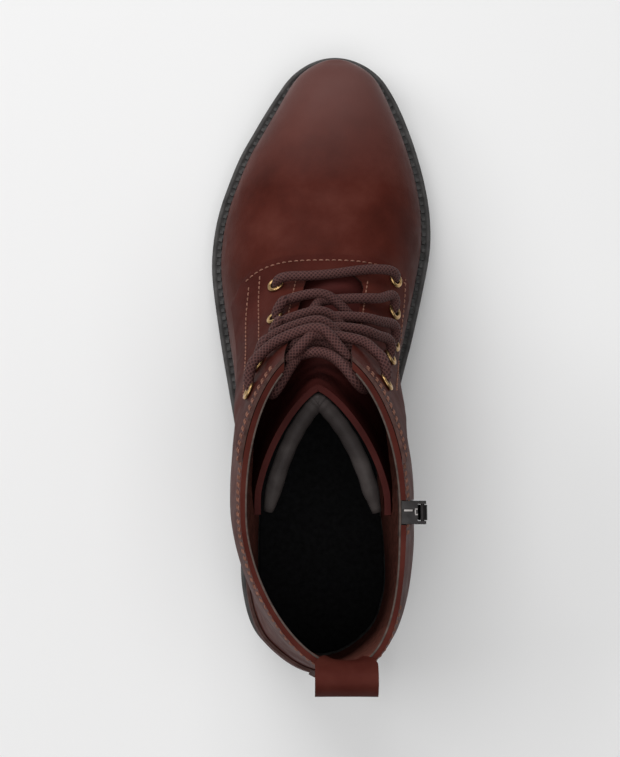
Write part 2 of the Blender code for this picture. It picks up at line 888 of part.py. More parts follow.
def bar_point(share, height):
    """A point of the lowest lace, which runs straight from eyelet to eyelet."""
    outer, outer_way, _ = eyelet(0, -1)
    inner, inner_way, _ = eyelet(0, 1)
    part = (1 + share) / 2
    section = mix(outer, inner, part) + BAR_BOW * (1 - share * share)
    return over(section, mix(outer_way, inner_way, part), height)


bar = [bar_point(share, height) for share, height in (
    (-1.02, ABOVE_EYELET), (-0.75, ABOVE_EYELET + 0.0004), (-0.4, ABOVE_FACE + 0.0008),
    (0.0, ABOVE_FACE + 0.0008), (0.4, ABOVE_FACE + 0.0008), (0.75, ABOVE_EYELET + 0.0004),
    (1.02, ABOVE_EYELET))]
tube("lace_bar", rounded(bar, 2), LACE_RADIUS, CORD, 6)
for row in range(1, EYELET_ROWS):
    crossing("lace_cross_%d" % (row + 1), row)


def top_strand(name, sign, lift):
    """The last pass, behind the edges of the throat and over the tongue."""
    last = EYELETS[-1][0] - 0.1
    places = (
        (last - 0.32, -THROAT_HALF_WIDTH - 0.0040, -LACE_TOP_DEPTH),
        (last - 0.26, -THROAT_HALF_WIDTH, -LACE_TOP_DEPTH),
        (last, 0.0, -LACE_TOP_DEPTH + lift),
        (last + 0.20, THROAT_HALF_WIDTH, -LACE_TOP_DEPTH),
        (last + 0.24, THROAT_HALF_WIDTH + 0.0040, -LACE_TOP_DEPTH),
    )
    points = [over(at, sign * way, height) for at, way, height in places]
    return tube(name, rounded(points, 3), LACE_RADIUS, CORD, 6)


join(
    top_strand("lace_top", 1, 0.0012 + 1.35 * LACE_RADIUS),
    top_strand("lace_top_under", -1, 0.0012),
)

# Zip: tape and teeth in their slot, the slider and its pull

ZIP_HEAD = COLLAR_HEIGHT - ZIP_TOP_GAP - GAP - SLIDER_TALL


def inner_side(y, z):
    """X of the upper's outer face on the inner side of the foot."""
    low = 0.0
    high = float(len(SECTIONS) - 1)
    for _ in range(30):
        section = (low + high) / 2
        back = spline(SECTIONS, 2, section)
        front = spline(SECTIONS, 0, section)
        place = upper_point(section, turn_of((share_of(y) - back) / (front - back)))
        if place.z < z:
            low = section
        else:
            high = section
    return place.x


tape = shell("zip_tape", 0.0, WALL, TEXTILE)
tape_cut = block(
    "tape_plan",
    (ZIP_CUT_INNER, zip_y - ZIP_WIDTH / 2 + GAP, ZIP_FOOT + GAP),
    (BALL_WIDTH, zip_y + ZIP_WIDTH / 2 - GAP, ZIP_HEAD),
)
boolean(tape, tape_cut, "INTERSECT")
teeth = shell("zip_teeth", TEETH_RISE, WALL, TEXTILE)
teeth_cut = block(
    "teeth_plan",
    (ZIP_CUT_INNER, zip_y - TEETH_WIDTH / 2, ZIP_FOOT + 0.002),
    (BALL_WIDTH, zip_y + TEETH_WIDTH / 2, ZIP_HEAD - 2 * GAP),
)
boolean(teeth, teeth_cut, "INTERSECT")
join(tape, teeth)

pin_z = ZIP_HEAD + GAP + SLIDER_TALL * 0.62
pin_x = inner_side(zip_y, pin_z - PULL_TALL) + TEETH_RISE + PULL_CLEAR
slider_face = pin_x - PULL_KNUCKLE - 0.0004
slider = block(
    "zip_slider",
    (inner_side(zip_y, pin_z) - SLIDER_SINK, zip_y - ZIP_WIDTH / 2 + GAP, ZIP_HEAD + GAP),
    (slider_face, zip_y + ZIP_WIDTH / 2 - GAP, ZIP_HEAD + GAP + SLIDER_TALL),
    BLACK_METAL,
)
cheek = PULL_WIDTH / 2 + GAP + CHEEK_WIDTH
for side, sign in (("front", 1), ("back", -1)):
    near = zip_y + sign * (cheek - CHEEK_WIDTH)
    far = zip_y + sign * cheek
    post = block(
        "slider_cheek_" + side,
        (slider_face - 0.001, min(near, far), pin_z - 0.0013),
        (pin_x + 0.0012, max(near, far), pin_z + 0.0013),
    )
    boolean(slider, post, "UNION")


def rod(name, middle, radius, wide, look=None, sides=12):
    """A cylinder lying along Y."""
    shape = bmesh.new()
    bmesh.ops.create_cone(shape, cap_ends=True, segments=sides, radius1=radius, radius2=radius, depth=wide)
    for vertex in shape.verts:
        x, y, z = vertex.co
        vertex.co = Vector((x, z, -y)) + Vector(middle)
    mesh = bpy.data.meshes.new(name)
    shape.to_mesh(mesh)
    shape.free()
    return add_object(name, mesh, look)


pin = rod("slider_pin", (pin_x, zip_y, pin_z), PIN_RADIUS, 2 * cheek - 0.0004)
boolean(slider, pin, "UNION")
# The pull turns on the pin, so its origin lies there
pull = block(
    "zip_pull",
    (-PULL_THICK / 2, -PULL_WIDTH / 2, -PULL_TALL),
    (PULL_THICK / 2, PULL_WIDTH / 2, 0.0),
    BLACK_METAL,
)
pull.location = (pin_x, zip_y, pin_z)
knuckle = rod("pull_knuckle", (pin_x, zip_y, pin_z), PULL_KNUCKLE, PULL_WIDTH)
boolean(pull, knuckle, "UNION")
hole = rod("pull_hole", (pin_x, zip_y, pin_z), PULL_HOLE, PULL_WIDTH * 2)
boolean(pull, hole)

# Pull loop: a strap from inside the collar's back, over and down the outside

COLLAR_SECTION = float(len(SECTIONS) - 1)


def loop_place(run, across):
    """A point of the strap's outer face. It follows the wall below the collar."""
    turn = -across * LOOP_WIDTH / 2 / LEG_HALF_WIDTH
    into = -(WALL + GAP)
    out = GAP + LOOP_THICK
    if run <= 0.25:
        section = COLLAR_SECTION - LOOP_IN_DROP * (1 - run / 0.25)
        return upper_point(section, turn) + upper_normal(section, turn) * into
    if run >= 0.75:
        section = COLLAR_SECTION - LOOP_OUT_DROP * (run - 0.75) / 0.25
        return upper_point(section, turn) + upper_normal(section, turn) * out
    part = (run - 0.25) / 0.5
    edge = upper_point(COLLAR_SECTION, turn)
    normal = upper_normal(COLLAR_SECTION, turn)
    apex = upper_point(COLLAR_SECTION, 0)
    swell = math.sin(math.pi * part)
    near = edge + normal * mix(into, out, part)
    flat = Vector((apex.x - across * LOOP_WIDTH / 2, apex.y + mix(LOOP_IN, -LOOP_OUT, part), edge.z))
    place = near.lerp(flat, min(1.0, 1.6 * swell))
    place.z = edge.z + LOOP_RISE * swell
    return place


sheet("pull_loop", 20, 4, loop_place, LOOP_THICK, LEATHER_OVER, -1)
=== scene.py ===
"""Looks of the left lace up ankle boot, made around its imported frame."""

import math

import bmesh
import bpy
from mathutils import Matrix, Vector
from mathutils.bvhtree import BVHTree
from mathutils.noise import noise


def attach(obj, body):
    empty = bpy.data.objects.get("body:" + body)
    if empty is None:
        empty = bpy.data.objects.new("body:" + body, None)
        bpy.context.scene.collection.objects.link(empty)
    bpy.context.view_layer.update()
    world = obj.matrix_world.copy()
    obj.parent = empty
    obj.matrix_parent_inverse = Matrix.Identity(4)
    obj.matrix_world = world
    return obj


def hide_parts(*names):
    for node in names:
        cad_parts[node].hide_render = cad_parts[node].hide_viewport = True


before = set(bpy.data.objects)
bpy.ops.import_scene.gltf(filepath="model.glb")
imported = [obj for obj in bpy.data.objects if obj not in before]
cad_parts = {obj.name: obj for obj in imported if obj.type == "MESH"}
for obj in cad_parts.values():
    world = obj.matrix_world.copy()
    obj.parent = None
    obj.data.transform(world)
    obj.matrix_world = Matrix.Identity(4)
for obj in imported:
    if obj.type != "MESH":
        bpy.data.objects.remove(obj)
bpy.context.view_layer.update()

# Picture and camera
TALL = 757
LENS_PIXELS = 1408.0
CAMERA_UP = 0.6655
CAMERA_ALONG = 0.0449
CAMERA_ACROSS = -0.0050
CAMERA_TILT = math.radians(4.54)
FILM = 0.036

# Where the toe's smoother leather and its painted highlight start and are full, along the boot
TOE_HIGHLIGHT_START = 0.178
TOE_HIGHLIGHT_END = 0.228

FINE_RINGS = 96
FINE_ROUND = 176
FINE_SOLE = 260

WORLD_LIGHT = 0.08
FLOOR_COLOUR = (0.80, 0.80, 0.80)
LAMPS = (
    # name, place, aimed at, size, power in watts
    ("front", (-0.45, 1.75, 1.25), (0.0, 0.12, 0.05), (1.5, 0.8), 24.0),
    ("left", (-1.50, 0.45, 1.55), (0.0, 0.10, 0.05), (1.0, 1.0), 10.0),
    ("right", (1.50, 0.10, 1.90), (0.0, 0.10, 0.05), (1.0, 1.0), 1.5),
    ("top", (0.0, -0.30, 2.30), (0.0, 0.05, 0.05), (2.2, 2.2), 38.0),
)

# Main sizes of the boot
LENGTH = 0.2804
BALL_WIDTH = 0.1014
HEEL_MIDDLE = 0.0350
SEAT_HEIGHT = 0.0340
BALL_HEIGHT = 0.0180
TOE_SPRING = 0.0085
COLLAR_HEIGHT = 0.1520
LEG_HALF_WIDTH = 0.0378
WALL = 0.0020
GAP = 0.0003

# Sole
SEAT_UNDERSIDE = 0.0195
WELT_THICK = 0.0040
WELT_SHOW = 0.0046
SOLE_TUCK = 0.0022
SOLE_STEP = 0.0009
STEP_HEIGHT = 0.0060
INSOLE_THICK = 0.0030
LUG_WIDTH = 0.0034
LUG_DEPTH = 0.0026
LUG_PITCH = 0.0135
LUG_ROWS = 7

# Upper and what lies on it
OVERLAY = 0.0012
THROAT_HALF_WIDTH = 0.0125
THROAT_FRONT = 0.6150
THROAT_TOP_SHIFT = -0.0020
THROAT_LOW_SHIFT = 0.0050
FACING_FRONT = 0.6420
FACING_SIDE_OUTER = 0.0345
FACING_SIDE_INNER = 0.0385
FACING_LOW = 0.0360
FACING_SLOPE = 0.95
COUNTER_FRONT = 0.2050
FACING_BACK_TOP = 0.3200
FACING_BACK_LOW = 0.4700
BACK_SHIFT = 0.0080
BACK_SHIFT_REACH = 0.45
CROWN_SHIFT = 0.0050
DOME = 2.3

# Tongue
TONGUE_THICK = 0.0024
TONGUE_GAP_LOW = 0.0006
TONGUE_GAP_HIGH = 0.0062
TONGUE_SET_BACK = 0.0070
TONGUE_VEE = 0.15
TONGUE_SPREAD = 1.05
TONGUE_START = 6.60
TONGUE_END = 11.60
TONGUE_DROP = 0.50
TONGUE_REACH_LOW = 0.60
TONGUE_REACH_HIGH = 1.50
ROLL_RADIUS = 0.0029
ROLL_RISE = 0.985

# Laces and eyelets
LACE_RADIUS = 0.0021
EYELET_SIDE = 0.0120
EYELET_ROWS = 5
EYELET_RADIUS = 0.0029
EYELET_RIM = 0.0008
LACE_LIFT = 0.0006
LACE_END = 0.0037
LACE_END_HEIGHT = 0.0004
LACE_TOP_DEPTH = 0.0050
LACE_CLIMB = 0.50
BAR_BOW = 1.26

# Zip and pull loop
ZIP_ALONG = 0.2560
ZIP_WIDTH = 0.0090
ZIP_FOOT = 0.0500
ZIP_TOP_GAP = 0.0027
SLIDER_TALL = 0.0100
LOOP_WIDTH = 0.0225
LOOP_THICK = 0.0020
LOOP_RISE = 0.0120
LOOP_IN = 0.0060
LOOP_OUT = 0.0085
LOOP_IN_DROP = 0.90
LOOP_OUT_DROP = 1.70


# Outline of the sole: share of LENGTH from the heel, then outer and inner half widths
# as shares of BALL_WIDTH.
OUTLINE = (
    (0.000, 0.000, 0.000),
    (0.028, 0.196, 0.200),
    (0.067, 0.297, 0.300),
    (0.131, 0.347, 0.352),
    (0.200, 0.354, 0.352),
    (0.280, 0.350, 0.330),
    (0.360, 0.372, 0.320),
    (0.440, 0.412, 0.350),
    (0.535, 0.459, 0.418),
    (0.636, 0.497, 0.480),
    (0.690, 0.494, 0.503),
    (0.745, 0.467, 0.500),
    (0.793, 0.422, 0.478),
    (0.839, 0.368, 0.444),
    (0.882, 0.299, 0.402),
    (0.931, 0.214, 0.340),
    (0.973, 0.122, 0.255),
    (1.000, -0.064, 0.064),
)

# Sections of the upper from the sole to the collar. Front and back points as shares of
# LENGTH and COLLAR_HEIGHT, how much of the leg's oval the section has, and that oval's
# half width as a share of LEG_HALF_WIDTH.
SECTIONS = (
    # front along, front up, back along, back up, leg, leg width
    (0.9890, 0.0000, 0.0170, 0.0000, 0.00, 1.00),
    (0.9880, 0.2050, 0.0136, 0.2760, 0.00, 1.00),
    (0.9750, 0.2570, 0.0114, 0.3290, 0.00, 1.00),
    (0.9420, 0.3020, 0.0121, 0.3750, 0.02, 1.00),
    (0.8810, 0.3400, 0.0150, 0.4210, 0.05, 1.00),
    (0.7920, 0.3790, 0.0178, 0.4670, 0.10, 1.00),
    (0.7060, 0.4200, 0.0214, 0.5130, 0.20, 1.00),
    (0.6450, 0.4620, 0.0250, 0.5660, 0.35, 1.00),
    (0.5960, 0.5240, 0.0292, 0.6250, 0.55, 1.00),
    (0.5560, 0.6050, 0.0335, 0.6910, 0.75, 1.00),
    (0.5230, 0.7040, 0.0381, 0.7760, 0.90, 0.97),
    (0.4940, 0.8360, 0.0430, 0.8820, 1.00, 0.90),
    (0.4700, 1.0000, 0.0500, 0.9870, 1.00, 0.80),
)


def clamp(value):
    return min(1.0, max(0.0, value))


def smooth(low, high, value):
    """0 below low, 1 above high and an even curve between."""
    share = clamp((value - low) / (high - low))
    return share * share * (3 - 2 * share)


def mix(first, second, share):
    return first + (second - first) * share


def along(share):
    """Y at this share of the sole's length."""
    return share * LENGTH - HEEL_MIDDLE


def hermite(start, end, rise_start, rise_end, part):
    """Value on a curve that leaves one end and arrives at the other with these rises."""
    square = part * part
    cube = square * part
    return (
        start * (2 * cube - 3 * square + 1)
        + end * (3 * square - 2 * cube)
        + rise_start * (cube - 2 * square + part)
        + rise_end * (cube - square)
    )


def spline(rows, column, at):
    """Value of a column at a fractional row, on a smooth curve through the rows."""
    last = len(rows) - 1
    row = min(last - 1, max(0, int(at)))
    before, start, end, after = (
        rows[near][column] for near in (max(0, row - 1), row, row + 1, min(last, row + 2))
    )
    return hermite(start, end, (end - before) / 2, (after - start) / 2, at - row)


def turn_of(share):
    return math.acos(1 - 2 * clamp(share))


OUTLINE_TURNS = [turn_of(row[0]) for row in OUTLINE]


def outline_side(share, column, sign):
    """X of the sole's edge at a share of its length, curved evenly through both ends."""
    turn = turn_of(share)
    turns = [-OUTLINE_TURNS[1]] + OUTLINE_TURNS + [2 * math.pi - OUTLINE_TURNS[-2]]
    other = 3 - column
    values = [-OUTLINE[1][other]] + [row[column] for row in OUTLINE] + [-OUTLINE[-2][other]]
    place = 1
    while place < len(turns) - 3 and turn > turns[place + 1]:
        place += 1
    t0, t1, t2, t3 = turns[place - 1 : place + 3]
    v0, v1, v2, v3 = values[place - 1 : place + 3]
    width = t2 - t1
    rise1 = (v2 - v0) / (t2 - t0) * width
    rise2 = (v3 - v1) / (t3 - t1) * width
    return sign * hermite(v1, v2, rise1, rise2, (turn - t1) / width) * BALL_WIDTH


def sole_top(share):
    fall = smooth(0.20, 0.62, share)
    rise = smooth(0.74, 1.06, share)
    return mix(SEAT_HEIGHT, BALL_HEIGHT, fall) + TOE_SPRING * rise


def sole_bottom(share):
    waist = 1 - smooth(0.30, 0.52, share)
    rise = smooth(0.76, 1.06, share)
    return SEAT_UNDERSIDE * waist + TOE_SPRING * 1.15 * rise


def share_of(y):
    return (y + HEEL_MIDDLE) / LENGTH


def sole_outline(inset, count=FINE_SOLE):
    """Points of the sole's edge, moved inwards. The two sides pair up, heel first."""
    points = []
    for step in range(count):
        turn = 2 * math.pi * step / count
        share = (1 - math.cos(turn)) / 2
        inner = turn <= math.pi
        x = outline_side(share, 2, 1) if inner else outline_side(share, 1, -1)
        points.append(Vector((x, along(share))))
    moved = []
    for step, point in enumerate(points):
        tangent = points[(step + 1) % count] - points[step - 1]
        inwards = Vector((-tangent.y, tangent.x)).normalized()
        moved.append(point + inwards * inset)
    return moved


def upper_point(section, turn):
    """A point of the upper's outer face: fractional row of SECTIONS, turn 0 at the back."""
    turn %= 2 * math.pi
    front_share = spline(SECTIONS, 0, section)
    back_share = spline(SECTIONS, 2, section)
    leg = spline(SECTIONS, 4, section)
    part = (1 - math.cos(turn)) / 2
    share = mix(back_share, front_share, part)
    base = 1 - smooth(0.0, 1.0, section)
    low_front = sole_top(front_share) + GAP
    low_back = sole_top(back_share) + GAP
    front_up = mix(spline(SECTIONS, 1, max(1.0, section)) * COLLAR_HEIGHT, low_front, base)
    back_up = mix(spline(SECTIONS, 3, max(1.0, section)) * COLLAR_HEIGHT, low_back, base)
    if section < 1:
        front_up = mix(low_front, SECTIONS[1][1] * COLLAR_HEIGHT, section)
        back_up = mix(low_back, SECTIONS[1][3] * COLLAR_HEIGHT, section)
    sag = sole_top(share) + GAP - mix(low_back, low_front, part)
    fade = max(0.0, 1 - section / 9)
    up = mix(back_up, front_up, part) + sag * fade
    # The foot's own width here, closed over the crown by its dome
    feather_side(0.5, 1)
    heel_end = FEATHER[1][0][0]
    toe_end = FEATHER[1][-1][0]
    foot_share = (share - back_share) / (SECTIONS[0][0] - back_share)
    foot_share = heel_end + (toe_end - heel_end) * clamp(foot_share)
    crown = crown_height(share)
    floor = sole_top(share) + GAP
    lift = clamp((up - floor) / max(0.001, crown - floor))
    dome = (1 - lift**DOME) ** (1 / DOME)
    inner = feather_side(foot_share, 1)
    outer = feather_side(foot_share, -1)
    towards_toe = clamp((0.98 - share) / 0.22)
    foot_middle = (inner + outer) / 2 + CROWN_SHIFT * (1 - dome) * towards_toe
    foot_half = (inner - outer) / 2 * dome
    leg_middle = BACK_SHIFT * max(0.0, 1 - part / BACK_SHIFT_REACH) ** 1.5 + THROAT_TOP_SHIFT * part**3
    leg_half = LEG_HALF_WIDTH * spline(SECTIONS, 5, section) * math.sqrt(max(0.0, 1 - (2 * part - 1) ** 2))
    middle = mix(foot_middle, leg_middle, leg)
    half = mix(foot_half, leg_half, leg)
    sign = 1 if turn <= math.pi else -1
    if part >= 0.999999:
        half = 0.0
    return Vector((middle + sign * half, along(share), up))


FEATHER = {}


def feather_side(share, sign):
    """X of the feather edge, where the upper meets the welt, on one side."""
    if not FEATHER:
        count = 160
        show = [WELT_SHOW * (1 - 0.4 * smooth(0.90, 1.0, (1 - math.cos(math.pi * step / 80)) / 2))
                for step in range(81)]
        for side in (1, -1):
            rows = []
            for step in range(81):
                place = step if side == 1 else (count - step) % count
                point = sole_outline(show[step], count)[place]
                rows.append((share_of(point.y), point.x))
            FEATHER[side] = rows
    rows = FEATHER[sign]
    place = 0
    while place < len(rows) - 2 and rows[place + 1][0] < share:
        place += 1
    part = (share - rows[place][0]) / max(1e-9, rows[place + 1][0] - rows[place][0])
    return mix(rows[place][1], rows[place + 1][1], clamp(part))


CROWN = []


def crown_height(share):
    """Height of the upper's ridge at this share of the length."""
    if not CROWN:
        for step in range(241):
            section = 12 * step / 240
            front = spline(SECTIONS, 0, section)
            up = spline(SECTIONS, 1, section) * COLLAR_HEIGHT
            if section < 1:
                up = mix(sole_top(front), SECTIONS[1][1] * COLLAR_HEIGHT, section)
            CROWN.append((front, up))
    if share <= CROWN[-1][0]:
        return CROWN[-1][1] + (CROWN[-1][0] - share) * LENGTH * 4
    for step in range(len(CROWN) - 1, 0, -1):
        high = CROWN[step]
        low = CROWN[step - 1]
        if high[0] <= share <= low[0]:
            part = (share - high[0]) / max(1e-9, low[0] - high[0])
            return mix(high[1], low[1], part)
    return CROWN[0][1]


def upper_normal(section, turn):
    step = 0.02
    last = len(SECTIONS) - 1
    low = max(0.0, section - step)
    high = min(float(last), section + step)
    rise = upper_point(high, turn) - upper_point(low, turn)
    around = upper_point(section, turn + step) - upper_point(section, turn - step)
    return around.cross(rise).normalized()


def throat_outline():
    """Plan of the throat: a rounded end towards the toe, the sides leaning with the laces."""
    half = THROAT_HALF_WIDTH
    far = along(THROAT_FRONT)
    low = along(0.30)
    outline = [(THROAT_TOP_SHIFT - half, low), (THROAT_TOP_SHIFT - half, along(SECTIONS[-1][0]))]
    for step in range(9):
        turn = math.pi * (1 - step / 8)
        outline.append((THROAT_LOW_SHIFT + half * math.cos(turn), far - half * 0.6 * (1 - math.sin(turn))))
    outline += [(THROAT_TOP_SHIFT + half, along(SECTIONS[-1][0])), (THROAT_TOP_SHIFT + half, low)]
    return outline


def facing_outline():
    front = along(FACING_FRONT)
    back = along(0.05)
    outline = [(-BALL_WIDTH / 2, back), (-BALL_WIDTH / 2, along(0.50))]
    outline.append((-FACING_SIDE_OUTER, front - 0.0100))
    for step in range(1, 12):
        part = step / 12
        x = mix(-FACING_SIDE_OUTER, FACING_SIDE_INNER, part)
        outline.append((x, front - 0.0080 * (2 * part - 1) ** 4))
    outline += [(FACING_SIDE_INNER, front - 0.0100), (BALL_WIDTH / 2, along(0.50))]
    outline.append((BALL_WIDTH / 2, back))
    return outline


def tongue_gap(section, turn):
    rise = smooth(TONGUE_START, 10.5, section)
    away = min(math.pi / 2, abs(turn - math.pi) * TONGUE_SPREAD)
    centre = math.cos(away) + TONGUE_VEE * math.sin(2 * away) ** 2
    return mix(TONGUE_GAP_LOW, TONGUE_GAP_HIGH, rise) + TONGUE_SET_BACK * rise * rise * centre


def off_face(section, turn, height):
    """A point this far above the upper's outer face, or below it where negative."""
    return upper_point(section, turn) + upper_normal(section, turn) * height


def tongue_place(rise, across):
    """A point of the tongue's front face: rise 0 to 1, across -1 to 1."""
    turn = math.pi - across * mix(TONGUE_REACH_LOW, TONGUE_REACH_HIGH, rise)
    section = mix(TONGUE_START, TONGUE_END - TONGUE_DROP * across * across, rise)
    return off_face(section, turn, -(WALL + tongue_gap(section, turn)))


EYELET_WAY = THROAT_HALF_WIDTH + EYELET_SIDE
# Section of each eyelet, its distance from the throat's middle as a share of EYELET_WAY,
# and the section where its lace crosses the throat's edge, from the toe upwards. The last
# row is where the laces of the top eyelets end
EYELETS = (
    # outer section, outer share, outer edge, inner section, inner share, inner edge
    (7.60, 0.906, 7.60, 5.75, 1.053, 6.90),
    (9.05, 0.784, 8.90, 6.85, 1.114, 8.40),
    (10.05, 0.743, 10.00, 7.95, 1.184, 9.40),
    (10.60, 0.878, 10.50, 9.20, 1.130, 10.15),
    (11.05, 1.000, 10.95, 11.05, 1.000, 10.85),
    (11.60, 1.000, 11.50, 11.60, 1.000, 11.50),
)


def eyelet(row, sign):
    """Section, signed sideways distance and edge section of an eyelet, row 0 by the toe."""
    column = 3 if sign > 0 else 0
    section, share, edge = EYELETS[row][column : column + 3]
    return section, sign * share * EYELET_WAY, edge


def throat_middle(y):
    part = (share_of(y) - SECTIONS[-1][0]) / (THROAT_FRONT - SECTIONS[-1][0])
    return mix(THROAT_TOP_SHIFT, THROAT_LOW_SHIFT, clamp(part))


def turn_at(section, side_way):
    """Turn on a section where the face is this far sideways of the throat's middle line."""
    if abs(side_way) < 1e-6:
        return math.pi
    sign = 1 if side_way > 0 else -1
    low = math.pi
    high = math.pi / 2 if sign > 0 else 3 * math.pi / 2
    for _ in range(30):
        middle = (low + high) / 2
        point = upper_point(section, middle)
        if abs(point.x - throat_middle(point.y)) < abs(side_way):
            low = middle
        else:
            high = middle
    return (low + high) / 2


COLLAR_SECTION = float(len(SECTIONS) - 1)


def loop_place(run, across):
    """A point of the strap's outer face. It follows the wall below the collar."""
    turn = -across * LOOP_WIDTH / 2 / LEG_HALF_WIDTH
    into = -(WALL + GAP)
    out = GAP + LOOP_THICK
    if run <= 0.25:
        section = COLLAR_SECTION - LOOP_IN_DROP * (1 - run / 0.25)
        return off_face(section, turn, into)
    if run >= 0.75:
        section = COLLAR_SECTION - LOOP_OUT_DROP * (run - 0.75) / 0.25
        return off_face(section, turn, out)
    part = (run - 0.25) / 0.5
    edge = upper_point(COLLAR_SECTION, turn)
    apex = upper_point(COLLAR_SECTION, 0)
    swell = math.sin(math.pi * part)
    near = off_face(COLLAR_SECTION, turn, mix(into, out, part))
    flat = Vector((apex.x - across * LOOP_WIDTH / 2, apex.y + mix(LOOP_IN, -LOOP_OUT, part), edge.z))
    place = near.lerp(flat, min(1.0, 1.6 * swell))
    place.z = edge.z + LOOP_RISE * swell
    return place


# Helpers for shapes

def add_object(name, mesh, looks, smooth_faces=True):
    made = bpy.data.objects.new(name, mesh)
    bpy.context.scene.collection.objects.link(made)
    for look in looks:
        mesh.materials.append(look)
    if smooth_faces:
        mesh.shade_smooth()
    return made


def mesh_from(name, points, faces):
    mesh = bpy.data.meshes.new(name)
    mesh.from_pydata([tuple(point) for point in points], [], faces)
    mesh.update()
    return mesh


def quads(rows, columns, wrap=False):
    """Corner numbers of the faces of a grid of points, row by row."""
    around = columns if wrap else columns + 1
    found = []
    for row in range(rows):
        low = row * around
        for step in range(columns):
            after = (step + 1) % around
            found.append((low + step, low + after, low + around + after, low + around + step))
    return found


def bridge(shape, one, two):
    """Faces between two rings of corners of a bmesh."""
    for corner in range(len(one)):
        after = (corner + 1) % len(one)
        shape.faces.new((one[corner], one[after], two[after], two[corner]))


def from_bmesh(name, shape, look, smooth_faces=True):
    """An object from a bmesh, with its faces turned outwards."""
    bmesh.ops.recalc_face_normals(shape, faces=shape.faces)
    mesh = bpy.data.meshes.new(name)
    shape.to_mesh(mesh)
    shape.free()
    return add_object(name, mesh, [look], smooth_faces)


def thicken(made, thick):
    """Gives a sheet its thickness. Its looks 1 and 2 go on the back and on the edges."""
    wall = made.modifiers.new("wall", "SOLIDIFY")
    wall.thickness = thick
    wall.offset = -1
    wall.use_even_offset = True
    wall.material_offset = 1
    wall.material_offset_rim = 2
    return made


def face_out(mesh):
    shape = bmesh.new()
    shape.from_mesh(mesh)
    bmesh.ops.remove_doubles(shape, verts=shape.verts, dist=0.00001)
    bmesh.ops.recalc_face_normals(shape, faces=shape.faces)
    shape.to_mesh(mesh)
    shape.free()
    return mesh


def baked(made, sharp=42):
    """Applies the piece's modifiers and marks its sharp edges by their angle."""
    graph = bpy.context.evaluated_depsgraph_get()
    mesh = bpy.data.meshes.new_from_object(made.evaluated_get(graph))
    made.modifiers.clear()
    old = made.data
    made.data = mesh
    bpy.data.meshes.remove(old)
    mesh.name = made.name
    mesh.shade_smooth()
    mesh.set_sharp_from_angle(angle=math.radians(sharp))
    return made


def boolean(target, cutter, operation="DIFFERENCE"):
    made = target.modifiers.new(cutter.name, "BOOLEAN")
    made.operation = operation
    made.object = cutter
    made.solver = "EXACT"
    made.material_mode = "TRANSFER"


def prism(name, outline, low, high, look):
    """An upright cutter from a plan outline."""
    count = len(outline)
    points = [(x, y, low) for x, y in outline] + [(x, y, high) for x, y in outline]
    faces = [tuple(range(count)), tuple(range(count, 2 * count))]
    for step in range(count):
        after = (step + 1) % count
        faces.append((step, after, count + after, count + step))
    made = add_object(name, face_out(mesh_from(name, points, faces)), [look], False)
    CUTTERS.append(made)
    return made


def block(name, low, high, look):
    plan = [(low[0], low[1]), (high[0], low[1]), (high[0], high[1]), (low[0], high[1])]
    return prism(name, plan, low[2], high[2], look)


CUTTERS = []


def drop_cutters():
    for cutter in CUTTERS:
        bpy.data.objects.remove(cutter)
    CUTTERS.clear()


def stand_for(piece, slot, *nodes, body="boot_body"):
    """Rides on a body and stands for these CAD nodes, which it hides. The slot is not used."""
    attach(piece, body)
    if nodes:
        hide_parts(*nodes)


# Camera, floor and light

scene = bpy.context.scene
scene.view_settings.view_transform = "Standard"
camera = bpy.data.objects.new("camera", bpy.data.cameras.new("camera"))
scene.collection.objects.link(camera)
scene.camera = camera
camera.location = (CAMERA_ACROSS, CAMERA_ALONG, CAMERA_UP)
camera.rotation_euler = (CAMERA_TILT, 0, 0)
camera.data.sensor_width = FILM * 1000
camera.data.sensor_fit = "AUTO"
camera.data.lens = LENS_PIXELS / TALL * FILM * 1000
camera.data.clip_start = 0.01
camera.data.clip_end = 20

world = bpy.data.worlds.new("studio")
scene.world = world
world.use_nodes = True
background = world.node_tree.nodes["Background"].inputs
background["Color"].default_value = (1, 1, 1, 1)
background["Strength"].default_value = WORLD_LIGHT

for lamp_name, lamp_place, target, lamp_size, power in LAMPS:
    light = bpy.data.lights.new(lamp_name, "AREA")
    light.shape = "RECTANGLE"
    light.size, light.size_y = lamp_size
    light.energy = power
    lamp = bpy.data.objects.new(lamp_name, light)
    scene.collection.objects.link(lamp)
    lamp.location = lamp_place
    lamp.rotation_euler = (Vector(target) - lamp.location).to_track_quat("-Z", "Y").to_euler()


# Materials


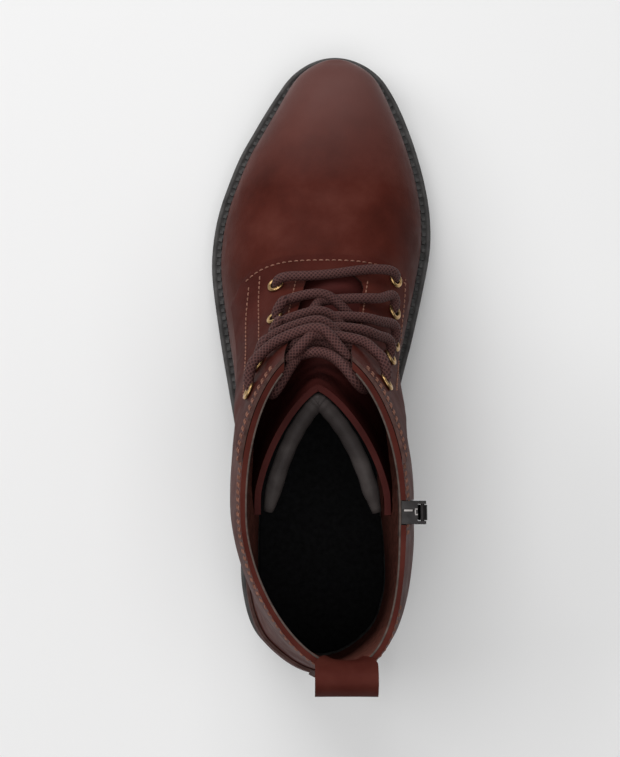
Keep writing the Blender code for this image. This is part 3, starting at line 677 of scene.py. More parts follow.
class Look:
    """A material whose nodes are added a few at a time."""

    def __init__(self, name, colour, rough, metal=0.0):
        self.material = bpy.data.materials.new(name)
        self.material.use_nodes = True
        self.material.diffuse_color = (*colour, 1)
        self.tree = self.material.node_tree
        self.shader = self.tree.nodes["Principled BSDF"]
        self.set(Base_Color=(*colour, 1), Roughness=rough, Metallic=metal)
        self.place = self.tree.nodes.new("ShaderNodeTexCoord").outputs["Object"]
        self.height = None

    def link(self, one, two):
        self.tree.links.new(one, two)

    def set(self, node=None, **values):
        for name, value in values.items():
            (node or self.shader).inputs[name.replace("_", " ")].default_value = value

    def node(self, kind, entry, source, **values):
        """A new node with these values, fed by a source through one entry."""
        made = self.tree.nodes.new("ShaderNode" + kind)
        self.set(made, **values)
        self.link(source, made.inputs[entry])
        return made

    def noise(self, scale, detail=3.0, rough=0.55):
        made = self.node("TexNoise", "Vector", self.place, Scale=scale, Detail=detail, Roughness=rough)
        return made.outputs["Fac"]

    def cells(self, scale):
        return self.node("TexVoronoi", "Vector", self.place, Scale=scale).outputs["Distance"]

    def range(self, value, low, high, to_low=0.0, to_high=1.0):
        limits = {"From_Min": low, "From_Max": high, "To_Min": to_low, "To_Max": to_high}
        return self.node("MapRange", "Value", value, **limits).outputs["Result"]

    def maths(self, operation, one, two):
        node = self.tree.nodes.new("ShaderNodeMath")
        node.operation = operation
        for socket, value in zip(node.inputs, (one, two)):
            if isinstance(value, (int, float)):
                socket.default_value = value
            else:
                self.link(value, socket)
        return node.outputs["Value"]

    def colours(self, value, *stops):
        """Colours the piece by a value, through stops of (place, colour)."""
        ramp = self.node("ValToRGB", "Fac", value)
        elements = ramp.color_ramp.elements
        while len(elements) < len(stops):
            elements.new(0.5)
        for element, (place, colour) in zip(elements, stops):
            element.position = place
            element.color = (*colour, 1)
        self.link(ramp.outputs["Color"], self.shader.inputs["Base Color"])

    def bump(self, value, depth, strength):
        """Adds a relief to those before it."""
        made = self.node("Bump", "Height", value, Distance=depth, Strength=strength)
        if self.height is not None:
            self.link(self.height, made.inputs["Normal"])
        self.height = made.outputs["Normal"]
        self.link(self.height, self.shader.inputs["Normal"])


def toned(colour, share):
    return tuple(min(1.0, part * share) for part in colour)


def leather(name, colour, light, rough, painted_toe_highlight=None):
    """Smooth full grain leather: fine cells, pores, slow changes of tone and scuffs."""
    look = Look(name, colour, rough)
    tone = look.noise(34, 4, 0.6)
    look.colours(tone, (0.30, toned(colour, 0.70)), (0.50, colour), (0.74, light))
    roughness = look.range(look.noise(120, 3), 0.3, 0.7, rough - 0.06, rough + 0.08)
    if painted_toe_highlight:
        # Towards the front of the boot the toe is smoother and paler: the paler colour is a painted
        # highlight
        split = look.node("SeparateXYZ", "Vector", look.place)
        toe_highlight_mask = look.range(split.outputs["Y"], TOE_HIGHLIGHT_START, TOE_HIGHLIGHT_END)
        painted_highlight_share = look.maths("MULTIPLY", toe_highlight_mask, look.range(look.noise(22, 3), 0.2, 0.8, 0.55, 1.0))
        blend = look.tree.nodes.new("ShaderNodeMix")
        blend.data_type = "RGBA"
        blend.inputs["B"].default_value = (*painted_toe_highlight, 1)
        look.link(painted_highlight_share, blend.inputs["Factor"])
        look.link(look.shader.inputs["Base Color"].links[0].from_socket, blend.inputs["A"])
        look.link(blend.outputs["Result"], look.shader.inputs["Base Color"])
        roughness = look.maths("SUBTRACT", roughness, look.range(toe_highlight_mask, 0.0, 1.0, 0.0, 0.12))
    look.link(roughness, look.shader.inputs["Roughness"])
    look.set(Specular_IOR_Level=0.03)
    look.bump(look.cells(1050), 0.00010, 0.30)
    look.bump(look.noise(430, 4, 0.6), 0.00020, 0.28)
    look.bump(look.noise(60, 3, 0.5), 0.0009, 0.22)
    return look.material


def plain(name, colour, rough, grain=900, depth=0.0001, metal=0.0):
    """One colour with a fine grain."""
    look = Look(name, colour, rough, metal)
    look.colours(look.noise(grain * 0.25, 3), (0.3, toned(colour, 0.7)), (0.7, toned(colour, 1.35)))
    look.bump(look.noise(grain, 4), depth, 0.5)
    if not metal:
        look.set(Specular_IOR_Level=0.10)
    return look.material


# The last colour is a painted highlight for the toe
LEATHER = leather(
    "burgundy_leather", (0.064, 0.0138, 0.0094), (0.092, 0.025, 0.018), 0.50, (0.122, 0.057, 0.051)
)
OVERLAY_LEATHER = leather("burgundy_overlay", (0.058, 0.0122, 0.0088), (0.082, 0.021, 0.015), 0.56)
TONGUE_LEATHER = leather("tongue_leather", (0.050, 0.0110, 0.0095), (0.066, 0.016, 0.014), 0.52)
CUT_EDGE = plain("grey_cut_edge", (0.062, 0.032, 0.027), 0.8, 1500, 0.0002)
INNER_LEATHER = plain("inner_lining", (0.034, 0.018, 0.015), 0.85, 1600, 0.0002)
RUBBER = plain("welt_rubber", (0.064, 0.062, 0.061), 0.55, 700, 0.00015)
SOLE_RUBBER = plain("sole_rubber", (0.040, 0.040, 0.041), 0.62, 600, 0.00020)
DARK_EDGE = plain("dark_cut_edge", (0.026, 0.014, 0.012), 0.85, 1500, 0.0002)
PAD_LEATHER = leather("grey_pad_leather", (0.036, 0.030, 0.029), (0.074, 0.064, 0.061), 0.30)
KNIT = plain("grey_knit", (0.070, 0.060, 0.056), 0.92, 1900, 0.0003)
SUEDE = plain("brown_suede", (0.150, 0.052, 0.038), 0.95, 1500, 0.0003)
INSOLE_CLOTH = plain("insole_cloth", (0.0095, 0.0098, 0.0105), 0.9, 1700, 0.0002)
THREAD = plain("tan_thread", (0.22, 0.105, 0.075), 0.75, 3000, 0.00005)
BRASS = plain("aged_brass", (0.42, 0.27, 0.12), 0.36, 900, 0.00004, 1.0)
# Near black: painted shade for the insides of the eyelets' holes
HOLE_SHADE = plain("eyelet_hole_shade", (0.004, 0.003, 0.003), 0.9)
BLACK_METAL = plain("black_metal", (0.018, 0.017, 0.017), 0.26, 800, 0.00003, 1.0)
# Pale metal that paints the slider's highlights
HIGHLIGHT_METAL = plain("slider_painted_highlight", (0.17, 0.16, 0.155), 0.30, 800, 0.00003, 1.0)
RAW_EDGE = plain("raw_lining_edge", (0.080, 0.060, 0.052), 0.85, 1600, 0.0002)
TAPE = plain("zip_tape_weave", (0.010, 0.008, 0.008), 0.9, 2200, 0.0002)


# The upper's face, with its creases, and rays onto it

CREASES = (
    # middle x, middle y, turn in degrees, length, width, depth, all of it in metres
    (0.004, 0.150, 4, 0.052, 0.0042, 0.00075),
    (-0.006, 0.163, -5, 0.046, 0.0036, 0.00060),
    (0.010, 0.176, 6, 0.040, 0.0034, 0.00050),
    (-0.026, 0.142, 28, 0.026, 0.0034, 0.00060),
    (0.030, 0.146, -26, 0.026, 0.0034, 0.00060),
)


def relief(place):
    """How far the leather stands off its smooth form at a place."""
    deep = 0.0
    for x, y, turn, length, width, depth in CREASES:
        one = math.cos(math.radians(turn))
        two = math.sin(math.radians(turn))
        run = (place.x - x) * one + (place.y - y) * two
        off = (place.y - y) * one - (place.x - x) * two
        off += 0.0016 * math.sin(run * 190)
        fade = 1 - smooth(0.55, 1.0, abs(run) / length * 2)
        deep += depth * fade * math.exp(-((off / width) ** 2))
    soft = noise(place * 42) * 0.00030 + noise(place * 95) * 0.00012
    return soft * smooth(0.0, 0.02, place.z - 0.024) - deep


def skin(name, offset, first=0.0, last=12.0, turns=(0.0, 2 * math.pi), fine=(1.0, 1.0)):
    """The upper's face as an open sheet, moved out by offset, between two sections."""
    rings = int(FINE_RINGS * fine[0])
    count = int(FINE_ROUND * fine[1])
    points = []
    whole = turns[1] - turns[0] > 2 * math.pi - 0.001
    columns = count if whole else count + 1
    for ring in range(rings + 1):
        section = mix(first, last, ring / rings)
        for step in range(columns):
            turn = mix(turns[0], turns[1], step / count)
            place = upper_point(section, turn)
            points.append(place + upper_normal(section, turn) * (offset + relief(place)))
    return mesh_from(name, points, quads(rings, count, whole))


def shell(name, offset, thick, looks, **limits):
    """A layer of the upper. Its looks are the outer face, the inner face and the cut edge."""
    return thicken(add_object(name, skin(name, offset, **limits), looks), thick)


FACE_MESH = skin("face", 0.0)
FACE_TREE = BVHTree.FromPolygons(
    [vertex.co for vertex in FACE_MESH.vertices],
    [tuple(face.vertices) for face in FACE_MESH.polygons],
)


def on_side(y, z, sign, height):
    """The place above the upper's face at y and z, seen from one side, and the way it faces."""
    place, normal, _, _ = FACE_TREE.ray_cast(Vector((sign * 0.2, y, z)), Vector((-sign, 0, 0)))
    if normal.x * sign < 0:
        normal = -normal
    return place + normal * height, normal


# Upper, facing and counter

zip_y = along(ZIP_ALONG)
OVER_COLLAR = COLLAR_HEIGHT * 1.3
throat = prism("throat", throat_outline(), COLLAR_HEIGHT * 0.25, OVER_COLLAR, CUT_EDGE)
slot = block(
    "zip_slot",
    (0.015, zip_y - ZIP_WIDTH / 2, ZIP_FOOT),
    (0.080, zip_y + ZIP_WIDTH / 2, COLLAR_HEIGHT * 1.2),
    CUT_EDGE,
)
upper = shell("upper_leather", 0.0, WALL, [LEATHER, INNER_LEATHER, OVERLAY_LEATHER])
boolean(upper, throat)
boolean(upper, slot)
baked(upper)
stand_for(upper, "leather", "upper")

facing = shell(
    "facing_leather", OVERLAY + GAP, OVERLAY, [OVERLAY_LEATHER, INNER_LEATHER, CUT_EDGE],
    first=4.0, turns=(math.pi * 0.30, math.pi * 1.70), fine=(0.75, 0.75),
)
facing_plan = prism("facing_plan", facing_outline(), FACING_LOW, OVER_COLLAR, CUT_EDGE)
for corner in facing_plan.data.vertices:
    if corner.co.z < COLLAR_HEIGHT:
        corner.co.z += FACING_SLOPE * (along(FACING_FRONT) - corner.co.y)
boolean(facing, facing_plan, "INTERSECT")
back_cut = block("facing_back", (-0.1, -0.3, COLLAR_HEIGHT * 0.1), (0.1, 0.0, OVER_COLLAR), CUT_EDGE)
lean = (FACING_BACK_TOP - FACING_BACK_LOW) * LENGTH / (COLLAR_HEIGHT * 0.6)
for corner in back_cut.data.vertices:
    corner.co.y += along(FACING_BACK_TOP) + lean * (corner.co.z - COLLAR_HEIGHT)
boolean(facing, back_cut)
boolean(facing, throat)
baked(facing)
stand_for(facing, "leather_overlay", "facing")

counter = shell(
    "counter_leather", OVERLAY + GAP, OVERLAY, [OVERLAY_LEATHER, INNER_LEATHER, CUT_EDGE],
    last=9.0, turns=(-math.pi * 0.55, math.pi * 0.55), fine=(0.75, 0.5),
)
heel_cut = block(
    "counter_plan", (-0.1, along(-0.1), 0.0), (0.1, along(COUNTER_FRONT), COLLAR_HEIGHT * 0.50), CUT_EDGE
)
for corner in heel_cut.data.vertices:
    corner.co.z -= 0.20 * (corner.co.y - along(0.0)) if corner.co.z > 0.05 else 0.0
boolean(counter, heel_cut, "INTERSECT")
baked(counter)
stand_for(counter, "leather_overlay", "counter")


# Rays onto the outermost leather, for its stitches

leather_points = []
leather_faces = []
for piece in (upper, facing, counter):
    first = len(leather_points)
    leather_points += [vertex.co for vertex in piece.data.vertices]
    leather_faces += [tuple(first + corner for corner in face.vertices) for face in piece.data.polygons]
LEATHER_TREE = BVHTree.FromPolygons(leather_points, leather_faces)


def sheet(name, rows, columns, place, thick, looks):
    """A sheet of leather or cloth, its front face given by place(rise, across)."""
    points = [place(row / rows, 2 * column / columns - 1) for row in range(rows + 1)
              for column in range(columns + 1)]
    faces = [(two, one, four, three) for one, two, three, four in quads(rows, columns)]
    return baked(thicken(add_object(name, mesh_from(name, points, faces), looks), thick))


# Linings inside the leg: a grey band under the collar and brown suede round the heel

INSIDE = WALL + 0.0004
LINING_THICK = 0.0007


def lining(name, low, high, turns, depth, look, rows, columns):
    """A thin sheet against the inside of the leg, between two lines of sections."""
    def place(rise, across):
        turn = mix(turns[0], turns[1], (across + 1) / 2)
        return off_face(mix(low(turn), high(turn), rise), turn, -depth)
    return sheet(name, rows, columns, place, LINING_THICK, [look, look, look])


def band_low(turn):
    return 10.95 + 0.10 * math.cos(turn * 5) + 0.04 * math.sin(turn * 13)


band = lining(
    "collar_lining", band_low, lambda turn: 11.94, (-1.85, 1.85), INSIDE, KNIT, 14, 150,
)
stand_for(band, "padded_cloth")
suede = lining(
    "heel_lining", lambda turn: 0.6, lambda turn: band_low(turn) + 0.12, (-1.75, 1.75),
    INSIDE + 0.0009, SUEDE, 40, 70,
)
stand_for(suede, "padded_cloth")


# Sole, welt and heel


def plate(name, levels, looks, count=FINE_SOLE):
    """A solid between levels, each an inset and a height along the foot."""
    points = []
    for inset, height in levels:
        for point in sole_outline(inset, count):
            points.append((point.x, point.y, height(share_of(point.y))))
    faces = quads(len(levels) - 1, count, True)
    top = (len(levels) - 1) * count
    for step in range(count // 2):
        corners = list(dict.fromkeys((step, step + 1, count - step - 1, (count - step) % count)))
        faces.append(tuple(reversed(corners)))
        faces.append(tuple(top + corner for corner in corners))
    return add_object(name, face_out(mesh_from(name, points, faces)), looks)


def under_welt(share):
    return sole_top(share) - WELT_THICK - GAP


outsole = plate(
    "outsole_rubber",
    (
        (SOLE_TUCK + SOLE_STEP, sole_bottom),
        (SOLE_STEP, lambda share: sole_bottom(share) + 0.0016),
        (SOLE_STEP, lambda share: min(sole_bottom(share) + STEP_HEIGHT, under_welt(share) - 0.0012)),
        (0, lambda share: min(sole_bottom(share) + STEP_HEIGHT + 0.0008, under_welt(share) - 0.0006)),
        (0.0, under_welt),
    ),
    [SOLE_RUBBER],
)
lugs = block(
    "lug_grooves",
    (-BALL_WIDTH, along(0.500), -LUG_DEPTH),
    (BALL_WIDTH, along(0.500) + LUG_WIDTH, LUG_DEPTH),
    SOLE_RUBBER,
)
repeat = lugs.modifiers.new("rows", "ARRAY")
repeat.count = LUG_ROWS
repeat.use_relative_offset = False
repeat.use_constant_offset = True
repeat.constant_offset_displace = (0, LUG_PITCH, 0)
boolean(outsole, lugs)
baked(outsole, 30)
stand_for(outsole, "sole_rubber", "outsole")

# The rim's section: inset from the sole's edge, then how far below the sole's top
RIM = (
    (0.0010, WELT_THICK), (0.0003, WELT_THICK - 0.0003), (0.0, WELT_THICK - 0.0010), (0.0, 0.0012),
    (0.0004, 0.0003), (0.0011, 0.0), (0.0019, 0.0002), (0.0023, 0.0009), (0.0040, 0.0010), (0.0052, 0.0002),
)
rim = [(inset, lambda share, drop=drop: sole_top(share) - drop) for inset, drop in RIM]
welt = plate("welt_rim", rim, [RUBBER])
baked(welt, 60)
stand_for(welt, "sole_rubber", "welt")


def run_along(points, pitch, closed=True):
    """Even places and directions along a line."""
    line = list(points) + ([points[0]] if closed else [])
    lengths = [(line[step + 1] - line[step]).length for step in range(len(line) - 1)]
    total = sum(lengths)
    count = max(1, round(total / pitch))
    found = []
    step = 0
    run = 0.0
    for number in range(count):
        wanted = total * (number + 0.5) / count
        while step < len(lengths) - 1 and run + lengths[step] < wanted:
            run += lengths[step]
            step += 1
        part = (wanted - run) / max(1e-9, lengths[step])
        place = line[step].lerp(line[step + 1], part)
        found.append((place, (line[step + 1] - line[step]).normalized()))
    return found


def add_box(shape, place, side, front, up, size):
    """A small block with its top edges drawn in, added to a bmesh."""
    corners = []
    for level, inset in ((-0.5, 1.0), (0.5, 0.72)):
        for one, two in ((-1, -1), (1, -1), (1, 1), (-1, 1)):
            corners.append(shape.verts.new(
                place + side * size[0] * one / 2 * inset + front * size[1] * two / 2 * inset
                + up * size[2] * level
            ))
    shape.faces.new(corners[3::-1])
    shape.faces.new(corners[4:])
    bridge(shape, corners[:4], corners[4:])


# Ribs between the notches of the rim's inner groove
shape = bmesh.new()
RIB_INSET = 0.0032
RIB_PITCH = 0.0037
RIB_SIZE = (0.0022, 0.0021, 0.0013)
UP = Vector((0, 0, 1))
rim_line = [Vector((point.x, point.y, sole_top(share_of(point.y)) - 0.0006))
            for point in sole_outline(RIB_INSET, FINE_SOLE)]
for place, way in run_along(rim_line, RIB_PITCH):
    add_box(shape, place, way.cross(UP).normalized(), way, UP, RIB_SIZE)
stand_for(from_bmesh("welt_ribs", shape, RUBBER, False), "sole_rubber")

INSOLE_EDGE = WELT_SHOW + WALL
insole = plate(
    "insole_pad",
    (
        (INSOLE_EDGE + 0.0022, lambda share: sole_top(share) + GAP),
        (INSOLE_EDGE + 0.0018, lambda share: sole_top(share) + GAP + INSOLE_THICK * 0.7),
        (INSOLE_EDGE + 0.0026, lambda share: sole_top(share) + GAP + INSOLE_THICK),
    ),
    [INSOLE_CLOTH],
)
baked(insole, 50)
stand_for(insole, "insole_cloth", "insole")


# Tongue and its padded roll


def wide_tongue(rise, across):
    """The tongue's face, carried on a little past its sides into the dark of the leg."""
    return tongue_place(rise, across * TONGUE_REACH)


TONGUE_REACH = 1.10
tongue = sheet(
    "tongue_leather", 46, 66, wide_tongue, TONGUE_THICK, [TONGUE_LEATHER, KNIT, TONGUE_LEATHER]
)
stand_for(tongue, "leather", "tongue")


def tube(name, path, radius, look, sides=16):
    """A round cord along a path. Its UVs run round the cord and along it, in millimetres."""
    count = len(path)
    points = []
    run = [0.0]
    for step in range(1, count):
        run.append(run[-1] + (path[step] - path[step - 1]).length)
    side = None
    for step, place in enumerate(path):
        way = (path[min(count - 1, step + 1)] - path[max(0, step - 1)]).normalized()
        if side is None:
            side = way.orthogonal().normalized()
        side = (side - way * side.dot(way)).normalized()
        other = way.cross(side)
        wide = radius(step / (count - 1)) if callable(radius) else radius
        for corner in range(sides):
            turn = 2 * math.pi * corner / sides
            points.append(place + side * math.cos(turn) * wide + other * math.sin(turn) * wide)
    faces = quads(count - 1, sides, True)
    marks = []
    for near, far in zip(run, run[1:]):
        for corner in range(sides):
            one = corner / sides
            two = (corner + 1) / sides
            marks += [(one, near * 1000), (two, near * 1000), (two, far * 1000), (one, far * 1000)]
    faces.append(tuple(reversed(range(sides))))
    faces.append(tuple(range((count - 1) * sides, count * sides)))
    marks += [(0, 0)] * (2 * sides)
    mesh = mesh_from(name, points, faces)
    layer = mesh.uv_layers.new(name="cord")
    for place, mark in zip(layer.data, marks):
        place.uv = mark
    return add_object(name, mesh, [look])


def rounded(points, parts=5):
    """A smooth path through the points."""
    rows = [tuple(point) for point in points]
    last = len(rows) - 1
    path = []
    for step in range(last * parts + 1):
        at = min(last - 1e-9, step / parts)
        path.append(Vector([spline(rows, axis, at) for axis in range(3)]))
    return path


def behind_tongue(rise, across, depth):
    """A point behind the tongue's front face, square to it."""
    step = 0.01
    up = tongue_place(rise, across) - tongue_place(rise - step, across)
    side = tongue_place(rise, across + step) - tongue_place(rise, across - step)
    return tongue_place(rise, across) + side.cross(up).normalized() * depth


def eased(points, passes):
    """The same row of points with its corners smoothed away and its ends kept."""
    for _ in range(passes):
        middle = [(one + two + three) / 3 for one, two, three in zip(points, points[1:], points[2:])]
        points = [points[0]] + middle + [points[-1]]
    return points


roll_wide = ROLL_RADIUS * 1.10
spans = [(step / 45 - 1) * TONGUE_REACH for step in range(91)]
roll_front = eased([tongue_place(ROLL_RISE, span) for span in spans], 120)
roll_back = eased(
    [behind_tongue(ROLL_RISE, span, 1.0) - tongue_place(ROLL_RISE, span) for span in spans], 160
)
roll_path = [
    front + back.normalized() * (TONGUE_THICK + roll_wide * 0.95)
    for front, back in zip(roll_front, roll_back)
]
roll = tube(
    "tongue_pad", roll_path,
    lambda part: roll_wide * min(1.0, 0.55 + 9 * min(part, 1 - part)) * (1 + 0.03 * math.sin(part * 95)),
    PAD_LEATHER, 24,
)
stand_for(roll, "padded_cloth", "tongue_roll")


# Laces and eyelets

braid = Look("braided_cord", (0.040, 0.0135, 0.0125), 0.66)
flat_map = braid.tree.nodes.new("ShaderNodeUVMap")
flat_map.uv_map = "cord"
split = braid.node("SeparateXYZ", "Vector", flat_map.outputs["UV"])
STRANDS_AROUND = 7
STRAND_LENGTH = 1.7
around = braid.maths("MULTIPLY", split.outputs["X"], 2 * math.pi * STRANDS_AROUND)
onward = braid.maths("MULTIPLY", split.outputs["Y"], 2 * math.pi / STRAND_LENGTH)
one_way = braid.maths("SINE", braid.maths("ADD", around, onward), 0.0)
other_way = braid.maths("SINE", braid.maths("SUBTRACT", around, onward), 0.0)
weave = braid.range(braid.maths("MAXIMUM", one_way, other_way), -0.4, 1.0)
braid.colours(
    weave, (0.0, (0.030, 0.0100, 0.0100)), (0.55, (0.060, 0.022, 0.020)), (1.0, (0.092, 0.038, 0.034))
)
braid.bump(weave, 0.0004, 0.7)
braid.set(Specular_IOR_Level=0.2)
braid.bump(braid.noise(2600, 2), 0.0001, 0.5)
BRAID = braid.material

FACE = OVERLAY + GAP
ABOVE_EYELET = FACE + GAP + 2 * EYELET_RIM + GAP + LACE_RADIUS
ABOVE_FACE = FACE + LACE_RADIUS + LACE_LIFT
RING_STEPS = 28
RING_SIDES = 10


def over(section, side_way, height):
    """A point at a section and a sideways distance, height above the upper's face."""
    return off_face(section, turn_at(section, side_way), height)


# Brass rings, and inside each a near black disc of painted shade for its hole
rings_mesh = bmesh.new()
hole_shade_mesh = bmesh.new()
for row in range(EYELET_ROWS):
    for sign in (1, -1):
        section, way, _ = eyelet(row, sign)
        turn = turn_at(section, way)
        normal = upper_normal(section, turn)
        middle = upper_point(section, turn) + normal * (FACE + GAP + EYELET_RIM * 0.6)
        one = normal.cross(Vector((0, 0, 1))).normalized()
        two = normal.cross(one)
        grid = []
        disc = []
        for step in range(RING_STEPS):
            angle = 2 * math.pi * step / RING_STEPS
            outward = one * math.cos(angle) + two * math.sin(angle)
            disc.append(hole_shade_mesh.verts.new(middle + outward * EYELET_RADIUS - normal * 0.0003))
            ring = []
            for corner in range(RING_SIDES):
                round_turn = 2 * math.pi * corner / RING_SIDES
                wide = 0.00085 * math.cos(round_turn)
                tall = EYELET_RIM * 0.9 * math.sin(round_turn)
                ring.append(rings_mesh.verts.new(middle + outward * (EYELET_RADIUS + wide) + normal * tall))
            grid.append(ring)
        hole_shade_mesh.faces.new(disc)
        for near, far in zip(grid, grid[1:] + grid[:1]):
            bridge(rings_mesh, near, far)

eyelet_nodes = [
    "eyelet_%s_%d" % (side, row + 1) for row in range(EYELET_ROWS) for side in ("inner", "outer")
]
stand_for(from_bmesh("eyelet_rings", rings_mesh, BRASS), "eyelet_brass", *eyelet_nodes)
stand_for(from_bmesh("eyelet_hole_shade_discs", hole_shade_mesh, HOLE_SHADE), "leather_overlay")


def cord(name, points, passes=20):
    """A lace through these points, its corners smoothed away."""
    return tube(name, eased(rounded(points, 12), passes), LACE_RADIUS, BRAID)


STRAND_SINK = 0.0030


def strand(name, row, sign, centre_height):
    """One lace end: out of an eyelet's hole, over the throat and down under its other edge."""
    start, way, edge = eyelet(row, sign)
    end = mix(eyelet(row, -sign)[2], eyelet(row + 1, -sign)[2], LACE_CLIMB)
    side_way = abs(way)
    places = (
        (start, side_way - 0.0002, -0.0010),
        (mix(start, edge, 0.03), side_way - 0.0008, ABOVE_FACE - 0.0008),
        (mix(start, edge, 0.16), side_way - 0.0042, ABOVE_EYELET + 0.0003),
        (mix(start, edge, 0.62), (side_way + THROAT_HALF_WIDTH) / 2 - 0.0005, ABOVE_FACE + 0.0008),
        (edge, THROAT_HALF_WIDTH + 0.0010, ABOVE_FACE + 0.0004),
        (mix(edge, end, 0.5), 0.0, centre_height),
        (mix(edge, end, 0.86), LACE_END * 2.2 - THROAT_HALF_WIDTH, LACE_END_HEIGHT + 0.0006),
        (end, -THROAT_HALF_WIDTH - 0.0015, -STRAND_SINK),
    )
    points = [over(section, sign * side, height) for section, side, height in places]
    return cord(name, points, 26)


def bar_point(share, height):
    """A point of the lowest lace, which runs straight from eyelet to eyelet."""
    outer, outer_way, _ = eyelet(0, -1)
    inner, inner_way, _ = eyelet(0, 1)
    part = (1 + share) / 2
    section = mix(outer, inner, part) + BAR_BOW * (1 - share * share)
    return over(section, mix(outer_way, inner_way, part), height)


bar = [bar_point(share, height) for share, height in (
    (-1.0, -0.0010), (-0.97, ABOVE_FACE - 0.0008), (-0.80, ABOVE_EYELET + 0.0003),
    (-0.4, ABOVE_FACE + 0.0008), (0.0, ABOVE_FACE + 0.0004), (0.4, ABOVE_FACE + 0.0008),
    (0.80, ABOVE_EYELET + 0.0003), (0.97, ABOVE_FACE - 0.0008), (1.0, -0.0010))]
stand_for(cord("lace_bar_cord", bar), "lace_cord", "lace_bar")
for row in range(1, EYELET_ROWS):
    name = "lace_cross_%d_cord" % (row + 1)
    height = ABOVE_FACE + 0.0006
    high = strand(name + "_over", row, -1, height)
    low = strand(name + "_under", row, 1, height - 1.7 * LACE_RADIUS)
    stand_for(high, "lace_cord", "lace_cross_%d" % (row + 1))
    stand_for(low, "lace_cord")


TOP_LACES = (
    # lift, then section past the last row and sideways share of the throat, from left to right
    (0.0030, (-0.70, -2.00), (0.10, -1.85), (0.38, -1.55), (0.20, -1.05), (-0.08, -0.50), (-0.14, 0.00),
     (-0.06, 0.50), (0.14, 1.05), (0.32, 1.50), (0.10, 1.80), (-0.60, 2.00)),
    (0.0004, (-0.60, -1.30), (-0.10, -0.90), (0.10, -0.45), (0.16, 0.05), (0.24, 0.55), (0.40, 1.05),
     (0.46, 1.50), (0.10, 1.85), (-0.60, 2.00)),
)
for number, (lift, *spots) in enumerate(TOP_LACES):
    points = []
    for section, share in spots:
        height = -LACE_TOP_DEPTH + lift * max(0.0, 1 - share * share) - 0.0012 * max(0.0, abs(share) - 1)
        points.append(over(EYELETS[EYELET_ROWS - 1][0] + section, share * THROAT_HALF_WIDTH, height))
    top_cord = cord("lace_top_%d_cord" % (number + 1), points)
    stand_for(top_cord, "lace_cord", *(["lace_top"] if number == 0 else []))


# Zip: woven tape, teeth, slider and pull

ZIP_HEAD = COLLAR_HEIGHT - ZIP_TOP_GAP - GAP - SLIDER_TALL
tape = shell(
    "zip_tape_weave", -0.0002, 0.0012, [TAPE, TAPE, TAPE],
    first=2.0, turns=(0.2 * math.pi, 0.7 * math.pi), fine=(0.75, 0.4),
)
boolean(tape, block(
    "tape_plan",
    (0.015, zip_y - ZIP_WIDTH / 2 + GAP, ZIP_FOOT + GAP),
    (0.080, zip_y + ZIP_WIDTH / 2 - GAP, ZIP_HEAD),
    TAPE,
), "INTERSECT")
baked(tape)
stand_for(tape, "zip_cloth", "zip_tape")


def guard_place(rise, across):
    """A strip of leather behind the zip, a little proud of its back edge."""
    z = mix(ZIP_FOOT - 0.006, COLLAR_HEIGHT - 0.002, rise)
    y = zip_y + across * 0.0085
    return on_side(y, z, 1, -WALL - GUARD_GAP)[0]


GUARD_GAP = 0.0012
GUARD_THICK = 0.0012
guard = sheet(
    "zip_guard_leather", 40, 8, guard_place, GUARD_THICK, [OVERLAY_LEATHER, INNER_LEATHER, DARK_EDGE]
)
stand_for(guard, "leather")


def softened(node, name, wide, look, slot, body="boot_body"):
    """A copy of a CAD node with its edges rounded, which stands for it."""
    mesh = bpy.data.objects[node].data.copy()
    mesh.materials.clear()
    made = add_object(name, mesh, [look])
    edge = made.modifiers.new("edges", "BEVEL")
    edge.width = wide
    edge.segments = 3
    edge.limit_method = "ANGLE"
    edge.angle_limit = math.radians(35)
    stand_for(baked(made, 50), slot, node, body=body)


softened("heel_block", "heel_stack", 0.0007, SOLE_RUBBER, "heel_rubber")
softened("heel_tread", "heel_top_piece", 0.0005, SOLE_RUBBER, "heel_rubber")
softened("zip_slider", "zip_slider_body", 0.00045, BLACK_METAL, "zip_metal")

# Pale metal marks on the slider's top, painted highlights: a long bar and a small bracket beside the pull

MARK_THICK = 0.0006
slider_corners = [Vector(corner) for corner in bpy.data.objects["zip_slider_body"].bound_box]
slider_top = max(corner.z for corner in slider_corners)
slider_in = min(corner.x for corner in slider_corners)
shape = bmesh.new()
for inward, sideways, size_x, size_y in (
    # from the slider's inner end and from its middle, then how long and how wide
    (0.0026, 0.0008, 0.0044, 0.0009),
    (0.00555, 0.0013, 0.0013, 0.0006),
    (0.00555, -0.0007, 0.0013, 0.0006),
    (0.0052, 0.0003, 0.0006, 0.0020),
):
    place = Vector((slider_in + inward, zip_y + sideways, slider_top + 0.0001))
    add_box(shape, place, Vector((1, 0, 0)), Vector((0, 1, 0)), UP, (size_x, size_y, MARK_THICK))
stand_for(from_bmesh("zip_slider_highlight_marks", shape, HIGHLIGHT_METAL, False), "zip_metal")

softened("zip_pull", "zip_pull_tab", 0.00035, BLACK_METAL, "zip_metal", "pull_body")

# Teeth, in two rows that mesh along the zip's middle
TOOTH_PITCH = 0.0015
TOOTH_SIZE = (0.0030, 0.0008, 0.0013)
TOOTH_SIDE = 0.00085
TOOTH_STAGGER = 0.00037
shape = bmesh.new()
for number in range(int((ZIP_HEAD - ZIP_FOOT - 0.003) / TOOTH_PITCH)):
    z = ZIP_FOOT + 0.002 + number * TOOTH_PITCH
    for sign in (-1, 1):
        place, normal = on_side(zip_y + sign * TOOTH_SIDE, z + sign * TOOTH_STAGGER, 1, 0.0003)
        front = Vector((0, 1, 0))
        front = (front - normal * front.dot(normal)).normalized()
        add_box(shape, place, front, normal.cross(front), normal, TOOTH_SIZE)
stand_for(from_bmesh("zip_teeth", shape, BLACK_METAL, False), "zip_metal")


# Pull loop

